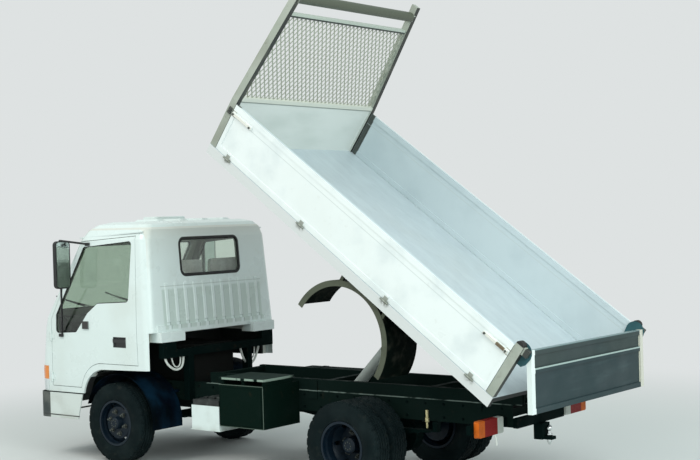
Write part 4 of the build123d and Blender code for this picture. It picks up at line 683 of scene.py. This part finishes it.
# Each finish with the nodes that wear it; those without nodes are for this script's own pieces
finishes = {
    "cab": (cab_paint(), "cab_shell"),
    "door_left": (door_paint("left"), "door_left"),
    "door_right": (door_paint("right"), "door_right"),
    "chassis": (chassis_paint(), "cab_hoop", "cab_pivots", "front_axle", "rear_axle", "leaf_springs",
                "propeller_shaft", "fuel_tank", "rear_bar", "knuckle_left", "knuckle_right"),
    "rail": (rail_paint(), "chassis_frame", "hoist_subframe"),
    "box": (box_paint(), "tool_box"),
    "liner": (liner_skin(), "splash_guards"),
    "engine": (chassis_paint("engine_iron", (26, 27, 26), 0.7), "engine_block"),
    "side": (side_paint(), "drop_side_left", "drop_side_right"),
    "post": (post_paint(), "rear_posts", "headboard"),
    "guard": (guard_paint(), "mudguards"),
    "mesh": (plain_metal("mesh_wire", (154, 160, 146), 0.55, 0.2, (122, 116, 92)), "headboard_mesh"),
    "cheek": (chassis_paint("cheek_paint", (58, 92, 98), 0.5),),
    "hose": (plastic("white_hose", (222, 226, 220), 0.5),),
    "fitting": (plain_metal("dull_brass", (206, 196, 150), 0.45, 0.3),),
    "tow": (plain_metal("tow_chrome", (222, 226, 226), 0.12, 1.0, (120, 120, 112)),),
    "bed": (bed_metal(), "bed_floor"),
    "gate": (gate_metal(), "tailgate"),
    "tyre": (plain("tyre_rubber", (5, 18, 20), 0.85, (0.65, 0.9, 7),
                   (((26, 38, 39), 0.5, 5, 0.4, 0.75), ((62, 62, 55), 0.22, 16, 0.55, 0.8)), (0.0003, 220, 3),
                   Specular_IOR_Level=0.12),
             "tyre_front_left", "tyre_front_right", "tyres_rear_left", "tyres_rear_right"),
    "wheel": (plain("wheel_paint", (8, 24, 36), 0.45, (0.35, 0.6, 9),
                    (((22, 40, 48), 0.4, 6, 0.45, 0.8), ((60, 44, 32), 0.3, 22, 0.62, 0.8)), (0.0003, 90, 3), 0.1,
                    Specular_IOR_Level=0.3),
              "rim_front_left", "rim_front_right", "rims_rear_left", "rims_rear_right"),
    "rubber": (plain("black_rubber", (18, 19, 19), 0.6, (0.5, 0.8, 12), (((60, 60, 55), 0.3, 6),),
                     (0.0002, 180, 3)),),
    "trim": (plastic("black_trim", (20, 21, 22)), "grille", "mirror_left", "mirror_right"),
    "dash": (plastic("dash_trim", (44, 46, 46), 0.6), "dashboard", "steering_wheel"),
    "glass": (glass_pane("cab_glass", (205, 219, 206)), "windscreen", "door_glass_left", "door_glass_right"),
    "rear_glass": (glass_pane("rear_glass", (250, 253, 251)), "rear_window"),
    "mirror": (plain_metal("mirror_face", (196, 206, 204), 0.03, 1.0, (170, 178, 176)),),
    "front_lens": (lamp_lens(), "head_lamps"),
    "tail_lens": (tail_lens(), "tail_lamps"),
    "cloth": (seat_cloth(), "seats"),
    "battery": (battery_case(), "battery_box"),
    "bumper": (bumper_plastic(), "front_bumper"),
    "exhaust": (plain_metal("exhaust_skin", (74, 64, 54), 0.6, 0.7, (96, 60, 36)), "exhaust"),
    "hoist": (bed_paint("hoist_paint", (150, 158, 154), 0.5, 0.4), "hoist_barrel", "hoist_stage"),
    "chrome": (plain_metal("chrome_rod", (214, 218, 216), 0.08, 1.0, (150, 150, 140)), "hoist_rod"),
    "steel": (plain_metal("bolt_steel", (84, 88, 84), 0.45, 0.7),),
}
looks = {}
for look, (surface, *wearers) in finishes.items():
    looks[look] = surface.material
    for name in wearers:
        edge_highlight = nodes[name].data.materials
        edge_highlight.clear()
        edge_highlight.append(surface.material)


# Tyres with ribs, sipes and shoulder lugs, in place of the plain solids
def add_tyre(shape, x, y, width):
    """One tyre about the axle at x, its middle plane at y."""
    segments = 180
    half = width / 2
    tread = half - 0.024
    groove = 0.009
    # (distance along the axle, radius) from the bead over the flank to the shoulder
    columns = [(-0.075, 0.216), (-0.090, 0.222), (-half + 0.005, 0.250), (-half, 0.285), (-half + 0.002, 0.300),
               (-half + 0.006, 0.320), (-half + 0.008, tyre_radius - 0.037), (-half + 0.016, tyre_radius - 0.016)]
    flanks = len(columns)
    ribs = 5
    for rib in range(ribs):
        left = -tread + 2 * tread * rib / ribs
        right = -tread + 2 * tread * (rib + 1) / ribs
        crown = tyre_radius - 0.001
        columns += [(left + 0.0035, crown - groove), (left + 0.005, crown), (right - 0.005, crown),
                    (right - 0.0035, crown - groove)]
    columns += [(-along, radius) for along, radius in reversed(columns[:flanks])]
    columns.append(columns[0])

    def lugs(step, index, radius):
        """Sipes across the ribs, and lugs on both shoulders."""
        inside_tread = flanks <= index < flanks + 4 * ribs
        outer_rib = index < flanks + 4 or index >= flanks + 4 * (ribs - 1)
        phase = (step + 2 * (index // 4)) % 6
        if inside_tread and phase == 0:
            return radius - (groove if outer_rib else groove * 0.5)
        if index in (flanks - 1, flanks + 4 * ribs) and step % 6 == 0:
            return radius - 0.008
        return radius

    shape.turned(columns, (x, y, wheel_z), (0, 1, 0), segments, lugs)


tyre_width = 0.205
twin_spacing = 0.240
twin_y = 0.804
front_y = 0.766
# columns: body, tyres, axle x, middles of the tyres, outer face of the disc, end of the hub
axles = (("wheel_front_", "tyre_front_", front_x, (front_y,), front_y + 0.045, front_y + 0.100),
         ("wheels_rear_", "tyres_rear_", rear_x, (twin_y, twin_y - twin_spacing), twin_y - 0.110, twin_y - 0.005))
for side, sign in sides:
    for body, tyre, x, middles, disc_y, hub_y in axles:
        tread = Shape()
        for y in middles:
            add_tyre(tread, x, sign * y, tyre_width)
        tread.make(tyre + side + "_tread", looks["tyre"], body + side, "tyre", smooth=40, replaces=[tyre + side])

# Wheel nuts with their studs, and the bolts of the hub's cap
nut_ring, nut_height = 0.104, 0.026
hub_ring = 0.031
for body, tyre, x, middles, disc_y, hub_y in axles:
    for side, sign in sides:
        out = (0, sign, 0)
        nuts = Shape()
        for i in range(6):
            angle = math.radians(60 * i + 15)
            foot = (x + nut_ring * math.cos(angle), sign * disc_y, wheel_z + nut_ring * math.sin(angle))
            nuts.bolt(foot, out, 0.017, nut_height)
            nuts.stud(foot, out, nut_height, nut_height + 0.017, 0.009, (0.003, 0.003), 10)
        for i in range(8):
            angle = math.radians(45 * i)
            foot = (x + hub_ring * math.cos(angle), sign * (hub_y - 0.002), wheel_z + hub_ring * math.sin(angle))
            nuts.stud(foot, out, 0.0, 0.007, 0.006, (0.001, 0.002), 6)
        nuts.make(body + side + "_nuts", looks["steel"], body + side, "wheel_steel")


# Rubber seals round the panes, along the outer edge of each pane of glass
def pane_edge(node, outward):
    """Outer edge of a pane as one closed run of points."""
    work = bmesh.new()
    work.from_mesh(nodes[node].data)
    bmesh.ops.remove_doubles(work, verts=work.verts, dist=1e-5)
    bmesh.ops.recalc_face_normals(work, faces=work.faces)
    work.normal_update()
    skin = {f for f in work.faces if f.normal.dot(Vector(outward)) > 0.45}
    links = {}
    for edge in work.edges:
        if sum(f in skin for f in edge.link_faces) == 1:
            for a, b in (edge.verts, reversed(edge.verts)):
                links.setdefault(a, []).append(b)
    start = min(links, key=lambda v: (v.co.x, v.co.z))
    run = [start]
    before = None
    while True:
        here = run[-1]
        onward = [v for v in links[here] if v is not before]
        before = here
        if not onward or (len(run) > 2 and start in onward) or len(run) > len(links):
            break
        run.append(onward[0])
    result = [v.co.copy() for v in run]
    work.free()
    return result


def seal(name, node, outward, body, width, depth, lift):
    """Rounded rubber strip along a pane's edge."""
    section = [(width / 2 * math.cos(a) * (1.0 if abs(math.sin(a)) < 0.8 else 0.9), lift + depth / 2 * math.sin(a))
               for a in (math.pi * i / 5 for i in range(10))]
    shape = Shape()
    shape.swept(pane_edge(node, outward), section, Vector(outward), closed=True)
    shape.make(name, looks["rubber"], body, "trim_plastic", smooth=60)


seal("rear_window_seal", "rear_window", (-1, 0, 0.06), "cab", 0.034, 0.022, 0.006)
seal("windscreen_seal", "windscreen", screen_out, "cab", 0.030, 0.020, 0.005)
for side, sign in sides:
    seal("door_" + side + "_seal", "door_glass_" + side, (0, sign, 0.04), "door_" + side, 0.014, 0.014, 0.003)


# Finer expanded metal in the headboard's frame, in place of the coarse sheet: strands between the
# crossings of a diamond grid, cut at the frame's leaning sides
post_l = bed_length - 0.070
low_h, high_h = 0.590, 1.395
low_half, high_half = 0.921, 0.828
step_y, step_h = 0.028, 0.042
strand, sheet = 0.0082, 0.003
wires = Shape(bed)
columns = int(low_half / step_y) + 1
for r in range(math.ceil((high_h - low_h) / step_h)):
    h0 = low_h + r * step_h
    h1 = h0 + step_h
    limit = low_half + (high_half - low_half) * (h1 - low_h) / (high_h - low_h)
    for c in range(-columns, columns):
        y0, y1 = c * step_y, (c + 1) * step_y
        if max(abs(y0), abs(y1)) > limit + 0.02:
            continue
        y0, y1 = (max(-limit, min(limit, y)) for y in (y0, y1))
        if y1 - y0 < 0.001:
            continue
        a, b = ((y0, h0), (y1, h1)) if (r + c) % 2 == 0 else ((y0, h1), (y1, h0))
        # a hair apart, so that strands don't share their end points
        l0 = post_l + 0.028 + 0.00005 * (2 * (r % 2) + c % 2)
        # each strand leans out of the sheet, as stretched metal does
        corners = ((sheet, a, -strand), (sheet, b, -strand), (0.0, b, strand), (0.0, a, strand))
        wires.add([(l0 + lift + out, y + side, h) for lift in (0.0, sheet) for out, (y, h), side in corners],
                  ((0, 1, 2, 3), (7, 6, 5, 4), (0, 4, 5, 1), (2, 6, 7, 3)))
wires.make("headboard_wire_mesh", looks["mesh"], "bed", "mesh_steel", replaces=["headboard_mesh"])


# Seats: crowned cushions with sewn channels, in place of the plain solids
def cushion(name, low, high, channels, axis_up):
    """Padded block with rounded edges, a crowned face and sewn channels across it."""
    work = bmesh.new()
    bmesh.ops.create_cube(work, size=2.0)
    bmesh.ops.subdivide_edges(work, edges=work.edges, cuts=15, use_grid_fill=True)
    half = (high - low) / 2
    centre = (high + low) / 2
    round_off, crown, seam_depth, seam_width = 0.030, 0.018, 0.012, 0.06
    across = [i for i in range(3) if i != axis_up]
    for v in work.verts:
        c = v.co.copy()
        face = c[axis_up]
        swell = (1 - c[across[0]] ** 2) * (1 - c[across[1]] ** 2)
        point = Vector([c[i] * half[i] for i in range(3)])
        core = Vector([max(-half[i] + round_off, min(half[i] - round_off, point[i])) for i in range(3)])
        away = point - core
        if away.length > 1e-9:
            point = core + away.normalized() * min(away.length, round_off)
        point[axis_up] -= (1 - swell) * crown * face
        for k in range(channels):
            line = -1 + 2 * (k + 1) / (channels + 1)
            point[axis_up] -= seam_depth * math.exp(-((c[1] - line) / seam_width) ** 2) * face
        v.co = centre + point
    mesh = bpy.data.meshes.new(name)
    work.to_mesh(mesh)
    work.free()
    piece = placed(name, mesh)
    mesh.materials.append(looks["cloth"])
    smooth = piece.modifiers.new("smooth", "SUBSURF")
    smooth.levels = 1
    smooth.render_levels = 1
    mesh.shade_smooth()
    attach(piece, "cab")
    return piece


seat_low, seat_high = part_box("seats")
shelf_z = seat_low.z
for name, y0, y1, channels in (("driver", -0.645, -0.155, 3), ("passenger", -0.045, 0.705, 4)):
    base = cushion("seat_base_" + name, Vector((seat_low.x + 0.06, y0, shelf_z + 0.001)),
                   Vector((seat_high.x - 0.004, y1, shelf_z + 0.125)), channels, 2)
    back = cushion("seat_back_" + name, Vector((seat_low.x + 0.004, y0, shelf_z + 0.10)),
                   Vector((seat_low.x + 0.105, y1, seat_high.z - 0.01)), channels, 0)
    if name == "driver":
        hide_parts("seats")
        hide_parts("seats")


# Wipers on the windscreen
def on_screen(y, z, lift=0.014):
    """Point over the flat of the windscreen."""
    return Vector((screen_foot.x - (z - screen_foot.z) * screen_slope, y, z)) + lift * screen_out


wipers = Shape()
for pivot_y in (-0.52, 0.12):
    pivot = on_screen(pivot_y, 1.375, 0.0)
    tip = on_screen(pivot_y + 0.50, 1.50, 0.022)
    wipers.stud(pivot, screen_out, 0.0, 0.028, 0.016, (0.006, 0.006), 16)
    wipers.rod([pivot + 0.022 * screen_out, pivot.lerp(tip, 0.3) + 0.018 * screen_out, tip], 0.006)
    blade = [on_screen(pivot_y + y, z) for y, z in ((0.24, 1.425), (0.50, 1.50), (0.68, 1.555))]
    wipers.swept(blade, [(-0.004, -0.010), (0.004, -0.010), (0.006, 0.006), (-0.006, 0.006)], screen_out)
wipers.make("wipers", looks["trim"], "cab", "trim_plastic", bevel=0.001)

# Mirror glass with rounded corners
mirror_place = Vector((front_x + 0.485, 1.011, 1.882))
mirror_half_y, mirror_half_z = 0.077, 0.216
for side, sign in sides:
    outline = rounded([Vector((mirror_place.x, sign * mirror_place.y + a * mirror_half_y,
                               mirror_place.z + b * mirror_half_z))
                       for a, b in ((-1, -1), (1, -1), (1, 1), (-1, 1))], 0.03, closed=True)
    face = Shape()
    face.plate(*([p + Vector((lift, 0, 0)) for p in outline] for lift in (-0.0008, 0.0022)))
    face.make("mirror_glass_" + side, looks["mirror"], "door_" + side, "trim_plastic")

# Two rows of bolts on each frame rail, up to the front springs
bolts = Shape()
rail_rear_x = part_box("chassis_frame")[0].x
for side, sign in sides:
    for i in range(26):
        x = rail_rear_x + 0.10 + i * 0.185
        if x < front_x + 0.85:
            for z in (0.600, 0.710):
                bolts.bolt((x, sign * rail_y, z), (0, sign, 0), 0.009, 0.010)
bolts.make("frame_bolts", looks["chassis"], "chassis", "chassis_black")

# White hoses that hang in loops behind the cab, both ends in the frame: name, radius, length, (y, z) points
loop_x = rear_x + 2.190
hose_loops = (
    ("hose_left_outer", 0.011, 0.542,
     ((0.713, 1.150), (0.730, 1.020), (0.690, 0.935), (0.575, 0.868), (0.478, 0.910), (0.480, 1.020))),
    ("hose_left_inner", 0.007, 0.286,
     ((0.640, 1.020), (0.622, 0.930), (0.560, 0.895), (0.515, 0.940), (0.522, 1.020))),
    ("hose_right_outer", 0.011, 0.497,
     ((-0.306, 1.020), (-0.342, 0.890), (-0.440, 0.815), (-0.545, 0.884), (-0.585, 1.020))),
    ("hose_right_inner", 0.007, 0.324,
     ((-0.400, 1.020), (-0.412, 0.915), (-0.470, 0.870), (-0.520, 0.925), (-0.515, 1.020))),
)
for name, radius, length, points in hose_loops:
    line = bpy.data.curves.new(name, "CURVE")
    line.dimensions = "3D"
    line.bevel_depth = radius
    line.bevel_resolution = 3
    line.use_fill_caps = True
    line.materials.append(looks["hose"])
    spline = line.splines.new("NURBS")
    spline.points.add(len(points) - 1)
    for point, (y, z) in zip(spline.points, points):
        point.co = (loop_x, y, z, 1)
    spline.order_u = 3
    spline.use_endpoint_u = True
    hose = placed(name, line)
    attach(hose, "chassis")

# Tow ball with its neck, flange, shank and nut
up = (0, 0, 1)
ball_place = Vector((rear_x - 1.440, 0, 0.520))
shank_place = ball_place - Vector((0, 0, 0.090))
ball_radius = 0.0254
tow_ball = Shape()
ball_line = [(-0.0530, 0.0), (-0.0530, 0.0255), (-0.0500, 0.0258), (-0.0440, 0.0250), (-0.0425, 0.0165)]
ball_line += [(-ball_radius * math.cos(a), ball_radius * math.sin(a)) for a in (0.62 + 0.19 * i for i in range(13))]
ball_line += [(ball_radius * 0.985, 0.0)]
tow_ball.turned(ball_line, ball_place, up, 32)
tow_ball.stud(shank_place, up, 0.0, -0.043, 0.0110, (-0.003, 0.003), 16)
tow_ball.turned([(-0.001, 0.0215), (-0.006, 0.0215), (-0.006, 0.010)], shank_place, up, 24)
tow_ball.stud(shank_place, up, -0.006, -0.027, 0.0190, (-0.003, 0.003), 6)
tow_ball.make("tow_ball_chrome", looks["tow"], "chassis", "hoist_chrome", smooth=50)

# Hook under the left lamp's arm
lamp_hook = Shape()
hook_line = [Vector((rear_x - 1.300, y, z))
             for y, z in ((0.594, 0.600), (0.600, 0.530), (0.582, 0.500), (0.578, 0.455))]
lamp_hook.rod(rounded(hook_line, 0.02), 0.006)
lamp_hook.make("lamp_hook", looks["hose"], "chassis", "chassis_black", smooth=80)

# Fitting on the left rail's outer face behind the rear wheel: low end, high end and radius of its three rounds
fitting = Shape()
for z0, z1, radius in ((0.505, 0.560, 0.009), (0.556, 0.590, 0.016), (0.586, 0.654, 0.012)):
    fitting.turned([(z0, 0.0), (z0, radius - 0.002), (z0 + 0.002, radius), (z1 - 0.002, radius),
                    (z1, radius - 0.002), (z1, 0.0)], (rear_x - 0.514, rail_y + 0.012, 0), up, 18)
fitting.make("rail_fitting", looks["fitting"], "chassis", "chassis_black", smooth=50)


# Cheeks of the tailgate's pivots, caps on the rear posts, catches and latch bolts of the drop sides
def arc(l, h, reach, rise, count):
    """Upper half of an ellipse in the bed's side view."""
    return [(l + reach * math.cos(math.pi * i / count), h + rise * math.sin(math.pi * i / count))
            for i in range(count + 1)]


cheeks, caps, catches = Shape(bed), Shape(bed), Shape(bed)
cheek_line = arc(0.015, 0.500, 0.085, 0.085, 16) + [(-0.060, 0.440), (-0.035, 0.405), (0.065, 0.405), (0.090, 0.440)]
cap_line = arc(0.0385, 0.557, 0.0365, 0.030, 12)
catch_l = 3.418
for side, sign in sides:
    cheeks.plate(*([(l, sign * y, h) for l, h in cheek_line] for y in (0.9268, 0.9298)))
    caps.plate(*([(l, y, h) for l, h in cap_line] for y in sorted((sign * 0.932, sign * 0.983))))
    catches.block(catch_l, catch_l + 0.038, *sorted((sign * 0.9795, sign * 0.996)), 0.425, 0.485, 0.002)
    catches.stud(bed(catch_l + 0.019, sign * 0.996, 0.455), (0, sign, 0), 0.0, 0.010, 0.010, (0.002, 0.003), 12)
cheeks.make("gate_pivot_cheeks", looks["cheek"], "bed", "post_grey", bevel=0.0006)
caps.make("post_caps", looks["rubber"], "bed", "trim_plastic", bevel=0.003, smooth=60)
catches.make("side_catches", looks["steel"], "bed", "post_grey", bevel=0.0015)
for side, sign in sides:
    levers = Shape(bed)
    for l0, l1 in latches:
        for l in (l0 + 0.016, l1 - 0.016):
            levers.stud(bed(l, sign * 0.9975, 0.451), (0, sign, 0), 0.0, 0.009, 0.010, (0.003, 0.004), 14)
    levers.make("latch_bolts_" + side, looks["steel"], "drop_side_" + side, "side_white")


# Camera at the photograph's place and direction; its place is given from the rear axle
camera_yaw = math.radians(-52.177)
camera_pitch = math.radians(-0.621)
camera_roll = math.radians(-1.646)
camera_data = bpy.data.cameras.new("photo_view")
camera_data.lens = 69.83
camera_data.sensor_width = 36.0
camera = placed("photo_view", camera_data)
forward = Vector((math.cos(camera_pitch) * math.cos(camera_yaw), math.cos(camera_pitch) * math.sin(camera_yaw),
                  math.sin(camera_pitch)))
camera.location = (rear_x - 6.906, 9.584, 2.278)
camera.rotation_mode = "QUATERNION"
camera.rotation_quaternion = forward.to_track_quat("-Z", "Y") @ Quaternion((0, 0, 1), camera_roll)
bpy.context.scene.camera = camera

# Plain pale floor that fades into the backdrop
backdrop = srgb(222, 226, 226)
floor_half, floor_z = 400.0, -0.0005
fade_start, fade_end = 3.6, 8.5
floor_look = bpy.data.materials.new("floor")
ground = Nodes(floor_look)
ground.tree.nodes.clear()
near = ground.node("BsdfDiffuse", {"Color": srgb(206, 209, 208)}).outputs[0]
distant = ground.node("Emission", {"Color": backdrop}).outputs[0]
reach = ground.node("VectorMath", {0: ground.node("TexCoord").outputs["Object"]},
                    operation="LENGTH").outputs["Value"]
floor_mix = ground.node("MixShader", {0: ground.step(reach, fade_start, fade_end), 1: near, 2: distant})
ground.node("OutputMaterial", {"Surface": floor_mix.outputs[0]})
floor_mesh = bpy.data.meshes.new("floor")
floor_mesh.from_pydata([(x * floor_half, y * floor_half, floor_z) for x, y in ((-1, -1), (1, -1), (1, 1), (-1, 1))],
                       [], [(0, 1, 2, 3)])
floor_mesh.materials.append(floor_look)
floor = placed("floor", floor_mesh)

# Sky light: the backdrop's colour where the camera sees it, straight or through glass, softer for shading
world = bpy.data.worlds.new("studio")
bpy.context.scene.world = world
sky = Nodes(world)
sky.tree.nodes.clear()
seen = sky.node("Background", {"Color": backdrop}).outputs[0]
soft = sky.node("Background", {"Color": srgb(226, 236, 235), "Strength": 0.86}).outputs[0]
ray = sky.node("LightPath").outputs
in_view = sky.math("MAXIMUM", ray["Is Camera Ray"], ray["Is Transmission Ray"])
sky_mix = sky.node("MixShader", {0: in_view, 1: soft, 2: seen})
sky.node("OutputWorld", {"Surface": sky_mix.outputs[0]})


def area_light(name, place, target, size, power, colour):
    """Round lamp that shines from a place towards a target."""
    data = bpy.data.lights.new(name, "AREA")
    data.shape = "DISK"
    data.size = size
    data.energy = power
    data.color = srgb(*colour)[:3]
    lamp = placed(name, data)
    lamp.location = place
    lamp.rotation_mode = "QUATERNION"
    lamp.rotation_quaternion = (Vector(target) - Vector(place)).to_track_quat("-Z", "Y")


area_light("key", (3.0, 8.5, 11.0), (0, 0, 1.2), 7.0, 640, (255, 252, 246))
area_light("fill", (-10.0, 3.0, 6.5), (0, 0, 1.5), 8.0, 760, (240, 250, 249))
area_light("low", (-9.0, 7.0, 4.2), (1.2, 0, 1.7), 6.0, 240, (240, 250, 246))

bpy.context.scene.view_settings.view_transform = "Standard"
